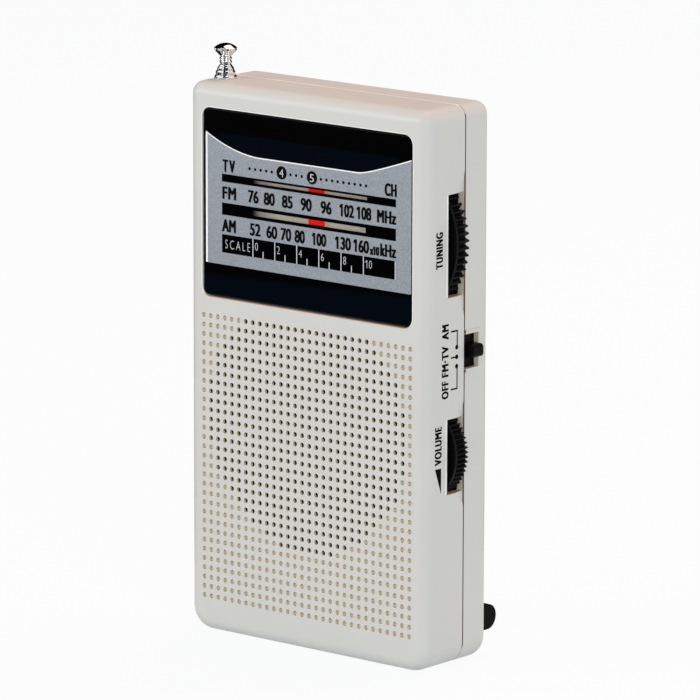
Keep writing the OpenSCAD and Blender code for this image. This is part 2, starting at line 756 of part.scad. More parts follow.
module volume_wheel() color([0.13, 0.13, 0.14])
  thumb_wheel(volume_x, volume_z, volume_r, volume_tooth, volume_teeth, volume_hub_r, volume_hub_d)
    peg(volume_x, volume_z, volume_hub_r, volume_hub_d, wheel_d + skin);

// A shaft that carries a wheel, with a hole for the wheel's screw
module wheel_shaft(x, z, foot) color([0.82, 0.68, 0.35]) difference() {
  peg(x, z, shaft_r, wheel_back - hub_bore_depth + skin, foot);
  peg(x, z, screw_r + skin, 0, foot - 0.6);
}

module tuning_shaft() wheel_shaft(tuning_x, tuning_z, board_d - shaft_floor);
module volume_shaft() wheel_shaft(volume_x, volume_z, board_d - shaft_floor);

// A pan-head screw driven towards the back, with a cross recess
module screw(x, z, r, head_r, head_t, seat_d, length) color([0.74, 0.74, 0.76]) difference() {
  union() {
    peg(x, z, head_r, seat_d - head_t, seat_d);
    peg(x, z, r, seat_d - skin, seat_d + length);
  }
  for (t = [0, 90]) translate([x, dy(seat_d - head_t), z]) rotate([0, t, 0])
    cube([head_r * 1.2, head_t * 0.9, head_r * 0.3], center = true);
}

// The same screw driven towards the front
module rear_screw(x, z, r, head_r, head_t, seat_d, length) color([0.74, 0.74, 0.76]) difference() {
  union() {
    peg(x, z, head_r, seat_d, seat_d + head_t);
    peg(x, z, r, seat_d - length, seat_d + skin);
  }
  for (t = [0, 90]) translate([x, dy(seat_d + head_t), z]) rotate([0, t, 0])
    cube([head_r * 1.2, head_t * 0.9, head_r * 0.3], center = true);
}

module tuning_wheel_screw()
  screw(tuning_x, tuning_z, screw_r, screw_head_r, wheel_head_t, gear_d + head_sink, 4.2);

module volume_wheel_screw()
  screw(volume_x, volume_z, screw_r, screw_head_r, wheel_head_t, volume_hub_d + head_sink, 3.4);

module tuning_capacitor() color([0.9, 0.9, 0.88]) difference() {
  union() {
    slab(board_d - part_t, board_d) translate([tuning_x, tuning_z]) difference() {
      square(2 * tuner_half, center = true);
      for (a = [45 : 90 : 315])
        rotate(a) translate([1.62 * tuner_half, 0]) square(tuner_half, center = true);
    }
    peg(tuning_x, tuning_z, tuner_collar_r, board_d - part_t - tuner_collar_t, board_d - part_t + skin);
  }
  peg(tuning_x, tuning_z, shaft_r + skin, 0, board_d - shaft_floor + skin);
}

module volume_control() color([0.2, 0.2, 0.21]) difference() {
  union() {
    peg(volume_x, volume_z, pot_r, board_d - part_t, board_d);
    block([volume_x - pot_r - pot_tab_reach, volume_x], [board_d - part_t + pot_tab_reach, board_d],
      [volume_z - pot_tab_half, volume_z + pot_tab_half]);
  }
  peg(volume_x, volume_z, shaft_r + skin, 0, board_d - shaft_floor + skin);
}

// Room in which the knob and its foot slide
module switch_slot() block([knob_foot_x - switch_slip, right],
  span(knob_d, switch_depth_half), span(switch_z, switch_half));

module band_switch() color([0.78, 0.78, 0.8]) difference() {
  block([switch_face_x - switch_body_w, switch_face_x], [front_d + gap, board_d],
    [switch_z - switch_body_half, switch_z + switch_body_half]);
  switch_slot();
}

// The knob's outer end is rounded, and its plate closes the opening from inside
module switch_knob() color([0.1, 0.1, 0.1]) {
  end_x = right + knob_proud;
  slab(knob_d - knob_w / 2, knob_d + knob_w / 2) {
    translate([knob_foot_x, switch_z - knob_h / 2]) square([end_x - knob_round - knob_foot_x, knob_h]);
    translate([knob_foot_x, switch_z - knob_h / 2 + knob_round])
      square([end_x - knob_foot_x, knob_h - 2 * knob_round]);
    for (s = [-1, 1])
      translate([end_x - knob_round, switch_z + s * (knob_h / 2 - knob_round)]) circle(knob_round);
  }
  block([slide_x - slide_t, slide_x], [slide_d, slide_back], span(switch_z, slide_half));
}

// One aerial tube with its rolled upper end
module aerial_tube(k, foot) color([0.8, 0.8, 0.82]) {
  r = section_dia(k) / 2;
  bore = section_dia(k - 1) / 2 + skin;
  top = section_tops[k];
  roll_r = 0.12;
  translate([aerial_ax, dy(aerial_d), 0]) rotate_extrude() polygon([
    [bore, foot], [r, foot], [r, top - 2 * roll_r], [r - roll_r, top], [bore, top]]);
}

// The rod and its mushroom tip, with two rings turned on the neck
module aerial_tip() color([0.8, 0.8, 0.82]) translate([aerial_ax, dy(aerial_d), 0]) {
  tip_r = tip_dia / 2;
  rod = rod_dia / 2;
  dome_z = tip_z + tip_h - tip_dome;
  dome_r = (tip_r * tip_r + tip_dome * tip_dome) / (2 * tip_dome);
  translate([0, 0, section_foot_z]) cylinder(r = rod, h = tip_z - section_foot_z + skin);
  for (z = neck_rings) translate([0, 0, tip_z - z]) rotate_extrude() polygon([
    [rod - skin, -0.3], [rod, -0.3], [rod + ring_rise, -0.14], [rod + ring_rise, 0.14], [rod, 0.3],
    [rod - skin, 0.3]]);
  band_z = tip_h - tip_dome;
  translate([0, 0, tip_z]) rotate_extrude() polygon([
    [0, 0], [rod + 0.1, 0], [tip_r - 0.1, band_z - tip_band], [tip_r, band_z - tip_band + 0.12],
    [tip_r, band_z], [0, band_z]]);
  intersection() {
    translate([0, 0, tip_z + tip_h - dome_r]) sphere(dome_r);
    translate([0, 0, dome_z - skin]) cylinder(r = tip_r, h = tip_dome + over);
  }
}

module aerial_tube_1() aerial_tube(1, section_foot_z);
module aerial_tube_2() aerial_tube(2, section_foot_z);
module aerial_tube_3() aerial_tube(3, section_foot_z);

// The outer tube, flattened at its foot to a tab with a screw hole
module aerial_base() color([0.55, 0.55, 0.57]) {
  aerial_tube(4, base_foot_z);
  difference() {
    union() {
      block([aerial_ax - base_r, aerial_ax + base_r], [tab_d, tab_d + tab_t],
        [tab_hole_z, base_foot_z + 0.6]);
      peg(aerial_ax, tab_hole_z, base_r + 0.1, tab_d, tab_d + tab_t);
    }
    peg(aerial_ax, tab_hole_z, screw_r + slip, 0, body_d);
  }
}

module aerial_screw() rear_screw(aerial_ax, tab_hole_z, screw_r, 1.8, 1, tab_d + tab_t, 4);

module grille_cloth() color([0.08, 0.08, 0.08])
  peg(0, speaker_z, speaker_r, front_wall, front_wall + cloth_t);

module speaker_frame() color([0.6, 0.6, 0.62]) difference() {
  translate([0, dy(0), speaker_z]) rotate([-90, 0, 0]) rotate_extrude($fn = 96) polygon([
    [speaker_r - rim_w, rim_d], [speaker_r, rim_d], [speaker_r, rim_d + rim_t],
    [speaker_r - rim_w + basket_t, rim_d + rim_t], [magnet_r + 1.2, basket_foot_d],
    [basket_hole_r, basket_foot_d], [basket_hole_r, basket_foot_d - basket_t],
    [magnet_r + 0.8, basket_foot_d - basket_t], [speaker_r - rim_w, rim_d + rim_t]]);
  for (a = [0 : 60 : 300]) translate([0, 0, speaker_z]) rotate([0, -a, 0])
    block([magnet_r + 3.5, speaker_r - rim_w - 2.5], [rim_d + rim_t, basket_foot_d], [-3.4, 3.4]);
}

module speaker_cone() color([0.12, 0.12, 0.12]) {
  rim = speaker_r - rim_w - 0.3;
  coil = 6.5;
  deep = basket_foot_d - basket_t - 1.2;
  translate([0, dy(0), speaker_z]) rotate([-90, 0, 0]) rotate_extrude($fn = 96) polygon([
    [0, deep - 1.8], [coil * 0.6, deep - 1.5], [coil, deep - 0.6], [rim - 2.4, rim_d + 0.5],
    [rim, rim_d + 0.3], [rim, rim_d + 0.7], [rim - 2.2, rim_d + 0.95], [coil, deep], [0, deep]]);
}

module speaker_magnet() color([0.35, 0.35, 0.37]) {
  peg(0, speaker_z, magnet_r, basket_foot_d, basket_foot_d + magnet_t - 0.8);
  peg(0, speaker_z, magnet_r - 1, basket_foot_d + magnet_t - 0.8 - skin, basket_foot_d + magnet_t);
}

module speaker_clamps() color([0.7, 0.7, 0.72]) at_clamps() difference() {
  union() {
    block([speaker_r - 1.2 - clamp_r, 0], [clamp_d, clamp_d + clamp_t], [-clamp_w / 2, clamp_w / 2]);
    peg(0, 0, clamp_w / 2, clamp_d, clamp_d + clamp_t);
  }
  peg(0, 0, clamp_screw_r + slip, 0, front_d);
}

module clamp_screws() at_clamps()
  rear_screw(0, 0, clamp_screw_r, 1.6, clamp_head_t, clamp_back, clamp_back - clamp_hole_d - 0.1);

module main_board() color([0.72, 0.62, 0.32]) difference() {
  block(span(0, right - board_inset), [board_d, board_back], [board_low_z, body_h - board_inset]);
  peg(case_posts[0][0], case_posts[0][1], boss_r + gap, 0, body_d);
  for (p = board_posts) peg(p[0], p[1], screw_r + slip, 0, body_d);
  switch_slot();
}

module board_screws() for (p = board_posts)
  rear_screw(p[0], p[1], screw_r, screw_head_r, board_head_t, board_back, 5);

// A place on the board, counted from the left side and from the top
function on_board(p) = [p[0] - right, body_h - p[1]];

module along_rod(x, r, length) translate([rod_left + x, dy(rod_d), rod_z]) rotate([0, 90, 0])
  cylinder(r = r, h = length);

module ferrite_rod() color([0.2, 0.19, 0.19]) along_rod(0, rod_r, rod_len);

module rod_coil() color([0.75, 0.45, 0.2]) for (w = windings) difference() {
  along_rod(w[0], rod_r + winding_t, w[1]);
  along_rod(0, rod_r + skin, rod_len);
}

module rod_cradles() color([0.88, 0.87, 0.84])
  for (x = [cradle_end, rod_len - cradle_end - cradle_w]) difference() {
    block([rod_left + x, rod_left + x + cradle_w], [rod_d - 1, board_d], span(rod_z, rod_r + rod_lip));
    along_rod(-over, rod_r + skin, rod_len + 2 * over);
  }

module receiver_chip() color([0.12, 0.12, 0.13]) {
  at = on_board(chip_at);
  block(span(at[0], chip_size[0] / 2), [board_d - chip_lift - chip_t, board_d - chip_lift],
    span(at[1], chip_size[1] / 2));
  for (k = [0 : chip_pins - 1], s = [-1, 1]) {
    x = at[0] + (k - (chip_pins - 1) / 2) * chip_pin_pitch;
    z = at[1] + s * (chip_size[1] / 2 + chip_pin[1] / 2 - skin);
    block(span(x, chip_pin[0] / 2), [board_d - chip_pin[2], board_d], span(z, chip_pin[1] / 2));
  }
}

// Shielded coil cans, each with the slot of its tuning core
module intermediate_cans() color([0.77, 0.77, 0.79]) for (drop = can_drops) difference() {
  at = on_board([can_x, drop]);
  block(span(at[0], can_half), [board_d - can_t, board_d], span(at[1], can_half));
  peg(at[0], at[1], can_core_r, 0, board_d - can_t + 0.6);
}

module capacitors() color([0.12, 0.16, 0.3]) for (p = capacitor_at) {
  at = on_board(p);
  peg(at[0], at[1], capacitor_r, board_d - capacitor_t, board_d);
}

module oscillator_coils() color([0.75, 0.45, 0.2]) for (drop = coil_drops) difference() {
  at = on_board([coil_x, drop]);
  peg(at[0], at[1], coil_r, board_d - coil_t, board_d);
  peg(at[0], at[1], coil_bore_r, 0, board_d - 0.5);
}

module ceramic_filters() color([0.85, 0.6, 0.25]) for (drop = filter_drops) {
  at = on_board([filter_x, drop]);
  block(span(at[0], filter_size[0] / 2), [board_d - filter_t, board_d], span(at[1], filter_size[1] / 2));
}

module earphone_jack() color([0.12, 0.12, 0.12]) difference() {
  union() {
    block([jack_x, jack_x + jack_len], [jack_d - jack_nose_r - skin, board_d],
      [jack_z - jack_half, jack_z + jack_half]);
    translate([-right, dy(jack_d), jack_z]) rotate([0, 90, 0])
      cylinder(r = jack_nose_r, h = jack_x + right + skin);
  }
  translate([-right - over, dy(jack_d), jack_z]) rotate([0, 90, 0])
    cylinder(r = jack_bore_r, h = jack_x + right + jack_len - 1 + over);
}

// A cell lying along X, with its cap towards the side given by s
module cell(s, z) color([0.25, 0.4, 0.55])
  translate([s * (bay_half - plate_t - 2 * skin), dy(cell_d), z]) rotate([0, -90 * s, 0]) {
    cylinder(r = cap_r, h = cap_len + skin);
    translate([0, 0, cap_len]) cylinder(r = cell_dia / 2, h = cell_len - cap_len);
  }

module upper_cell() cell(-1, upper_cell_z);
module lower_cell() cell(1, lower_cell_z);

// A round tube swept along a list of points, as one closed skin
function unit(v) = v / norm(v);
function along(pts, i) = unit(pts[min(i + 1, len(pts) - 1)] - pts[max(i - 1, 0)]);
function ring(p, t, r, n) = let (
  ref = abs(t[2]) < 0.8 ? [0, 0, 1] : [0, 1, 0],
  u = unit(cross(ref, t)),
  v = cross(t, u))
  [for (k = [0 : n - 1]) p + r * (cos(360 * k / n) * u + sin(360 * k / n) * v)];
module tube(pts, r, n) {
  m = len(pts);
  skin_points = [for (i = [0 : m - 1]) each ring(pts[i], along(pts, i), r, n)];
  polyhedron(skin_points, concat(
    [[for (k = [0 : n - 1]) k]],
    [for (i = [0 : m - 2], k = [0 : n - 1]) each [
      [i * n + k, (i + 1) * n + k, (i + 1) * n + (k + 1) % n],
      [i * n + k, (i + 1) * n + (k + 1) % n, i * n + (k + 1) % n]]],
    [[for (k = [n - 1 : -1 : 0]) (m - 1) * n + k]]));
}

// Conical springs that press on the flat ends of the cells
function spring_points(s, z) = [for (i = [0 : spring_turns * rings_per_turn]) let (
  f = i / (spring_turns * rings_per_turn),
  a = 360 * i / rings_per_turn,
  r = spring_big_r + (spring_small_r - spring_big_r) * f,
  x = bay_half - plate_t - 2 * skin - spring_wire_r - spring_len * f)
  [s * x, dy(cell_d) + r * cos(a), z + r * sin(a) * s]];

// Least gap between turns, measured on the points of the wire
function turn_gap(pts) = min([for (i = [0 : len(pts) - 1], j = [i + rings_per_turn - 2 : len(pts) - 1])
  norm(pts[i] - pts[j])]) - 2 * spring_wire_r;
echo(spring_turn_gap = turn_gap(spring_points(1, upper_cell_z)));

module cell_springs() color([0.8, 0.8, 0.82]) {
  tube(spring_points(1, upper_cell_z), spring_wire_r, 6);
  tube(spring_points(-1, lower_cell_z), spring_wire_r, 6);
}

// Contact plates at both ends of the bay, with solder tails through its top wall
module cell_contacts() color([0.8, 0.8, 0.82]) {
  depth = span(cell_d, plate_half);
  block([bay_half - skin - plate_t, bay_half - skin], depth,
    [lower_cell_z - plate_half, upper_cell_z - plate_half - 0.4]);
  for (s = [-1, 1]) translate([s * (bay_half - skin - plate_t / 2), 0, 0]) {
    ends = span(0, plate_t / 2);
    if (s < 0) block(ends, depth, span(lower_cell_z, plate_half));
    block(ends, depth, span(upper_cell_z, plate_half));
    block(ends, span(cell_d, tail_half), [upper_cell_z, bay_top_z + bay_wall + tail_rise]);
  }
}

module case_screws() for (p = case_posts)
  rear_screw(p[0], p[1], screw_r, screw_head_r, screw_head_t, screw_head_d, 8.4);

// A lug with a vertical eye, its stem through the back wall
module strap_lug() color([0.08, 0.08, 0.08]) {
  round_r = lug_h / 2;
  difference() {
    translate([lug_x - lug_t / 2, dy(body_d), lug_z]) rotate([90, 0, 90]) linear_extrude(lug_t)
      intersection() {
        union() {
          translate([0, -round_r]) square([lug_proud - round_r, lug_h]);
          translate([lug_proud - round_r, 0]) circle(round_r);
        }
        translate([0, -lug_h]) square([lug_proud + over, 2 * lug_h]);
      }
    translate([lug_x, dy(body_d) + eye_dia / 2 + eye_wall, lug_z - lug_h])
      cylinder(r = eye_dia / 2, h = 2 * lug_h);
  }
  peg(lug_x, lug_z, lug_stem_r, back_inside - 0.4, body_d + skin);
}

function wire_points(list) = [for (p = list) [p[0], dy(p[1]), p[2]]];

module speaker_wires() color([0.7, 0.15, 0.12]) for (k = [0, 1]) tube(wire_points([
  [-6 - 2 * k, basket_foot_d + 0.2, speaker_z + 14], [-6 - 2 * k, basket_foot_d + 1.2, speaker_z + 14.2],
  [-6.5 - 2 * k, basket_foot_d + 2.4, speaker_z + 13.6], [-7 - 2 * k, board_d - 2.2, speaker_z + 11.6],
  [-7.2 - 2 * k, board_d - 1.2, speaker_z + 11.2], [-7.2 - 2 * k, board_d - 0.2, speaker_z + 11.2]]),
  wire_r, wire_sides);

module battery_wires() color([0.12, 0.12, 0.12]) for (s = [-1, 1]) {
  top = bay_top_z + bay_wall;
  tube(wire_points([
    [s * (bay_half - 1), cell_d + 0.6, top + 0.9], [s * (bay_half - 1.8), cell_d + 0.8, top + 1.6],
    [s * (bay_half - 3), cell_d + 1.2, top + 3.4], [s * (bay_half - 3.6), cell_d + 1.6, top + 5.6],
    [s * (bay_half - 4), board_d - 1.6, top + 7.4], [s * (bay_half - 4.2), board_d - 0.2, top + 8]]),
    wire_r, wire_sides);
}

module aerial_wire() color([0.15, 0.35, 0.2]) {
  tab_back = tab_d + tab_t;
  tube(wire_points([
    [aerial_ax + 1.6, tab_back + 0.2, tab_hole_z + 2], [aerial_ax + 1.7, tab_back + 1.6, tab_hole_z + 2.1],
    [aerial_ax + 2.2, tab_back + 4, tab_hole_z + 2.8], [aerial_ax + 2.8, board_d - 2.4, tab_hole_z + 3.6],
    [aerial_ax + 3, board_d - 1.2, tab_hole_z + 3.8], [aerial_ax + 3, board_d - 0.2, tab_hole_z + 3.8]]),
    wire_r, wire_sides);
}

front_case();
rear_case();
battery_door();
dial_lens();
dial_backing();
dial_pointer();
idler_gear();
idler_washer();
tuning_wheel();
tuning_shaft();
tuning_wheel_screw();
tuning_capacitor();
volume_wheel();
volume_shaft();
volume_wheel_screw();
volume_control();
band_switch();
switch_knob();
aerial_tip();
aerial_tube_1();
aerial_tube_2();
aerial_tube_3();
aerial_base();
aerial_screw();
grille_cloth();
speaker_frame();
speaker_cone();
speaker_magnet();
speaker_clamps();
clamp_screws();
main_board();
board_screws();
ferrite_rod();
rod_coil();
rod_cradles();
receiver_chip();
intermediate_cans();
capacitors();
oscillator_coils();
ceramic_filters();
earphone_jack();
upper_cell();
lower_cell();
cell_springs();
cell_contacts();
case_screws();
strap_lug();
speaker_wires();
battery_wires();
aerial_wire();
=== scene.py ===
"""Pocket radio: finishes, print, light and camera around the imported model."""

import json
import math

import bmesh
import bpy
from mathutils import Matrix, Vector


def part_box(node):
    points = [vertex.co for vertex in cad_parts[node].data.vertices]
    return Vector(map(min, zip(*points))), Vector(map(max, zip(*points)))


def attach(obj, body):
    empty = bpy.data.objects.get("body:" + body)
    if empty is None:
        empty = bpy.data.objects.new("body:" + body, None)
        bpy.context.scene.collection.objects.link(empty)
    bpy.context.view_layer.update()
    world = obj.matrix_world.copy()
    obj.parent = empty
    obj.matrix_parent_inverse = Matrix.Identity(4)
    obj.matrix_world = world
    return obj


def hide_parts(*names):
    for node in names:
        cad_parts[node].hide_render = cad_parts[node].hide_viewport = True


bl_info = {
    "name": "Pocket Radio Finishes",
    "version": (1, 0, 0),
    "blender": (4, 5, 0),
    "location": "3D View > Sidebar > Radio",
    "description": "Dresses a packed pocket radio with finishes, print, soft light and a camera",
    "category": "Object",
}

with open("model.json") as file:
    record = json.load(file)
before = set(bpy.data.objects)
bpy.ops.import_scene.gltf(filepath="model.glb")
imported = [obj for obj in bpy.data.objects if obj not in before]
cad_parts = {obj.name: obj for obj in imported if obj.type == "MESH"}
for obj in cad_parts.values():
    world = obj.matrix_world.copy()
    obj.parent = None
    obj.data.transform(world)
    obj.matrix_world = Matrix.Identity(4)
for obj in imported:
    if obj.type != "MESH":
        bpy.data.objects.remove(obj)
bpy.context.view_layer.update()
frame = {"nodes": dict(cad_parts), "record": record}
case_low, case_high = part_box("front_case")
lens_low, lens_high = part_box("dial_lens")

MM = 0.001
FRONT_Y = case_low.y
SIDE_X = case_high.x
LENS_Y = lens_low.y

# Half the thickness of the print, and the step between two layers of it.
INK = 0.00002
LIFT = 0.000003

# Height of a capital letter of the plain font at size 1, its middle, and the depth given to the letters.
CAPITAL = 0.7273
CAPITAL_MIDDLE = 0.3636
FONT_DEPTH = 0.001

# Camera: its lens in millimetres, its place, and its right, up and back directions.
CAMERA_LENS = 316.69
CAMERA_PLACE = (0.804006, -0.954488, 0.316892)
CAMERA_AXES = (
    (0.765887, 0.642972, 0.002232),
    (-0.130242, 0.151739, 0.979802),
    (0.629647, -0.750708, 0.199957),
)

# Each lamp's place, width and colour, and the point they all look at.
LAMPS = (
    ("key", (1.85, -1.25, 0.4), 1.2, (0.93, 0.97, 1)),
    ("fill", (-1.3, -1.5, 0.4), 1.2, (1, 0.955, 0.92)),
    ("top", (0.0, 0.3, 0.8), 0.5, (1, 0.62, 0.46)),
    ("back", (0.15, 1.95, 0.2), 0.6, (1, 1, 1)),
)
LAMP_AIM = Vector((0, 0, 0.06))

# Dark cloths: the degrees between which each stands, and its strips as distances and heights.
WALL_STRIP = ((3, 0.02), (2, 2.6), (0.3, 3))
NEAR_STRIP = ((0.1, 0.0005), (0.8, 0.0005))
FAR_STRIP = ((0.8, 0.0005), (2.4, 0.0005))
SCREENS = [
    ("front_screen", -82, -14, (NEAR_STRIP, WALL_STRIP)),
    ("left_screen", -165, -100, (NEAR_STRIP,)),
    ("back_screen", 62, 190, (NEAR_STRIP, WALL_STRIP)),
]
SCREENS += [(f"far_screen_{i + 1}", 20 + 60 * i, 44 + 60 * i, (FAR_STRIP,)) for i in range(6)]

# Holes of the grille: the middle of the upper left one, the steps, and the margin of the open field.
FIRST_HOLE_X = -0.02784
FIRST_HOLE_Z = 0.0676
HOLE_STEP_X = 0.00192
HOLE_STEP_Z = 0.002
OPEN_MARGIN = 0.0016

# Heights of the two wheel slots, and how far behind the front they and the switch opening lie.
WHEEL_SLOTS = ((0.0777, 0.0989), (0.0368, 0.0524))
SLOT_DEPTH = (0.0064, 0.0121)
SWITCH_DEPTH = (0.0122, 0.0178)
SWITCH_HEIGHT = (0.0619, 0.0697)

# Paint of the dial: left and right ends, then lower and upper ends.
FIELD_LEFT = -0.02685
FIELD_LOW = 0.07885
OUTLINE_LEFT = -0.0273
FIELD_TOP = 0.10214
BARS_X = (-0.02288, 0.02385)
FM_BAR = (0.0963, 0.09795)
AM_BAR = (0.08935, 0.0919)
LOG_BAR = (0.0814, 0.08525)
FM_WINDOW = ((-0.0152, 0.0162), (0.09662, 0.0975))
AM_WINDOW = ((-0.0156, 0.01585), (0.0898, 0.09115))
PAINT_EDGE = 0.00004


def linear(red, green, blue):
    """Scene colour of a screen colour given from 0 to 255."""
    out = []
    for part in (red, green, blue):
        share = part / 255
        out.append(share / 12.92 if share <= 0.04045 else ((share + 0.055) / 1.055) ** 2.4)
    return (out[0], out[1], out[2], 1)


def colour(name, description, rgb):
    return bpy.props.FloatVectorProperty(
        name=name, description=description, default=linear(*rgb), size=4, subtype="COLOR", min=0, max=1
    )


def length(name, description, value):
    return bpy.props.FloatProperty(
        name=name, description=description, default=value, unit="LENGTH", subtype="DISTANCE"
    )


def amount(name, description, value, low=0.0, high=1000.0):
    return bpy.props.FloatProperty(name=name, description=description, default=value, min=low, max=high)


class RadioColours(bpy.types.PropertyGroup):
    """Colours of the finishes"""

    shell: colour("Shell", "Moulded plastic of the case", (205, 204, 199))
    # Painted light: warm bounce light and shade inside the grille holes, on the inner face of the joint and
    # in the switch opening.
    tan: colour("Hole walls", "Shade of the plastic inside the holes", (212, 192, 156))
    # Painted light: stronger warm bounce light on the walls of the open holes.
    painted_hole_bounce: colour("Hole", "Walls of the open holes", (206, 176, 118))
    # Painted light: a warm lit line on the sill under each wheel slot and along the lower edge of the dial
    # recess.
    painted_warm_bounce: colour("Amber", "Sill under each wheel", (188, 124, 58))
    # Dark joint of the two shells, part dust and part painted shade; also the painted shade at the upper
    # right of each grille hole.
    seam: colour("Seam", "Dust and shade in the joint of the two shells", (104, 86, 66))
    # Painted highlight: the thin bright lines on the case edges are painted highlights, not wear; the same
    # white is the printed outline round the silver field of the dial.
    polished: colour("Polished edges", "Plastic worn bright on thin edges", (252, 250, 246))
    ink: colour("Ink", "Black print on the silver field and the case", (6, 6, 7))
    door_ink: colour("Door ink", "Print on the battery door", (120, 119, 115))
    pale_ink: colour("Pale ink", "White print on the dark parts of the dial", (202, 205, 209))
    silver: colour("Dial silver", "Silver paint of the dial", (150, 156, 164))
    lens_black: colour("Dial black", "Black paint of the dial", (3, 3, 4))
    # Painted reflection: a dark navy sheen in the upper and lower black bands of the dial.
    painted_navy_sheen: colour("Dial navy", "Deep blue tone of the lower band", (4, 9, 17))
    # The lens bevel is the unprinted clear edge, a little lighter than the black as a faint painted glint.
    lens_edge_glint: colour("Lens edge", "Bevelled edge of the lens", (14, 14, 16))
    red: colour("Pointer", "Red of the dial pointer", (232, 12, 5))
    backing: colour("Backing", "Plate behind the dial windows", (218, 209, 193))
    wheel: colour("Wheels", "Black plastic of the wheels and the knob", (7, 7, 8))


class RadioSizes(bpy.types.PropertyGroup):
    """Sizes of the print and the dial paint"""

    corner_top: length("Upper corners", "Radius of the two upper corners of the case", 0.0027)
    corner_low: length("Lower corners", "Radius of the two lower corners of the case", 0.005)
    front_roll: length("Front edge", "Radius of the rounded front edge", 0.0026)
    rear_roll: length("Rear edge", "Radius of the rounded rear edge", 0.0018)
    wall: length("Wall", "Thickness of the shells", 0.0017)
    seam_y: length("Seam", "Depth of the joint of the two shells behind the front", 0.0121)
    figure_h: length("Figures", "Height of the dial numbers and words", 0.00264)
    scale_word_h: length("Scale word", "Height of the word on the log scale", 0.002)
    scale_figure_h: length("Scale figures", "Height of the numbers on the log scale", 0.0018)
    small_h: length("Small figures", "Height of the small multiplier", 0.0018)
    side_h: length("Side words", "Height of the words on the side", 0.00215)
    side_dot_r: length("Side dots", "Radius of the three dots beside the switch", 0.0005)
    side_line_w: length("Side lines", "Width of the lines from the words to the dots", 0.00034)
    disc_r: length("Channel disc", "Radius of the two channel discs", 0.00138)
    dot_r: length("Dot", "Radius of the channel dots", 0.00032)
    tick_w: length("Tick", "Width of the ticks on the log scale", 0.0002)
    outline_w: length("Outline", "Width of the white line round the silver field", 0.00024)
    condensed: amount("Condensed", "Width of the letters against their normal width", 0.75, 0.4, 1.2)
    bold: amount("Bold", "How much each letter is thickened, against its height", 0.034, 0, 0.1)
    side_bold: amount("Side bold", "How much the words on the side are thickened", 0.042, 0, 0.1)


class RadioLight(bpy.types.PropertyGroup):
    """Light and floor"""

    sky: amount("Sky", "Strength of the even light", 0.47)
    key: amount("Key", "Power of the main lamp in watts", 28.5)
    fill: amount("Fill", "Power of the left lamp in watts", 19.5)
    top: amount("Top", "Power of the upper lamp in watts", 3.1)
    back: amount("Back", "Power of the rear lamp in watts", 13.0)
    floor_tone: colour("Floor", "Colour of the floor", (212, 226, 234))
    floor_shade: amount("Floor shade", "How much of the floor's own shade is shown", 0.07, 0, 1)


class Wire:
    """A socket of a node tree, with the sums that the finishes use."""

    def __init__(self, tree, socket):
        self.tree = tree
        self.socket = socket

    def sum(self, operation, first, second=None):
        node = self.tree.nodes.new("ShaderNodeMath")
        node.operation = operation
        for place, value in enumerate((first, second)):
            if isinstance(value, Wire):
                self.tree.links.new(value.socket, node.inputs[place])
            elif value is not None:
                node.inputs[place].default_value = value
        return Wire(self.tree, node.outputs[0])

    def __add__(self, other):
        return self.sum("ADD", self, other)

    def __radd__(self, other):
        return self.sum("ADD", other, self)

    def __sub__(self, other):
        return self.sum("SUBTRACT", self, other)

    def __rsub__(self, other):
        return self.sum("SUBTRACT", other, self)

    def __mul__(self, other):
        return self.sum("MULTIPLY", self, other)

    def __rmul__(self, other):
        return self.sum("MULTIPLY", other, self)

    def __truediv__(self, other):
        return self.sum("DIVIDE", self, other)

    def __pow__(self, other):
        return self.sum("POWER", self, other)

    def __abs__(self):
        return self.sum("ABSOLUTE", self)

    def most(self, other):
        return self.sum("MAXIMUM", self, other)


class Nodes:
    """A node tree that is being filled."""

    def __init__(self, tree):
        self.tree = tree
        self.tree.nodes.clear()

    def node(self, kind, settings=None, sockets=None, out=0):
        """Adds a node: its settings are set first, then its sockets get values or links."""
        node = self.tree.nodes.new(kind)
        for name, value in (settings or {}).items():
            setattr(node, name, value)
        for name, value in (sockets or {}).items():
            if isinstance(value, Wire):
                self.tree.links.new(value.socket, node.inputs[name])
            else:
                node.inputs[name].default_value = value
        return Wire(self.tree, node.outputs[out])


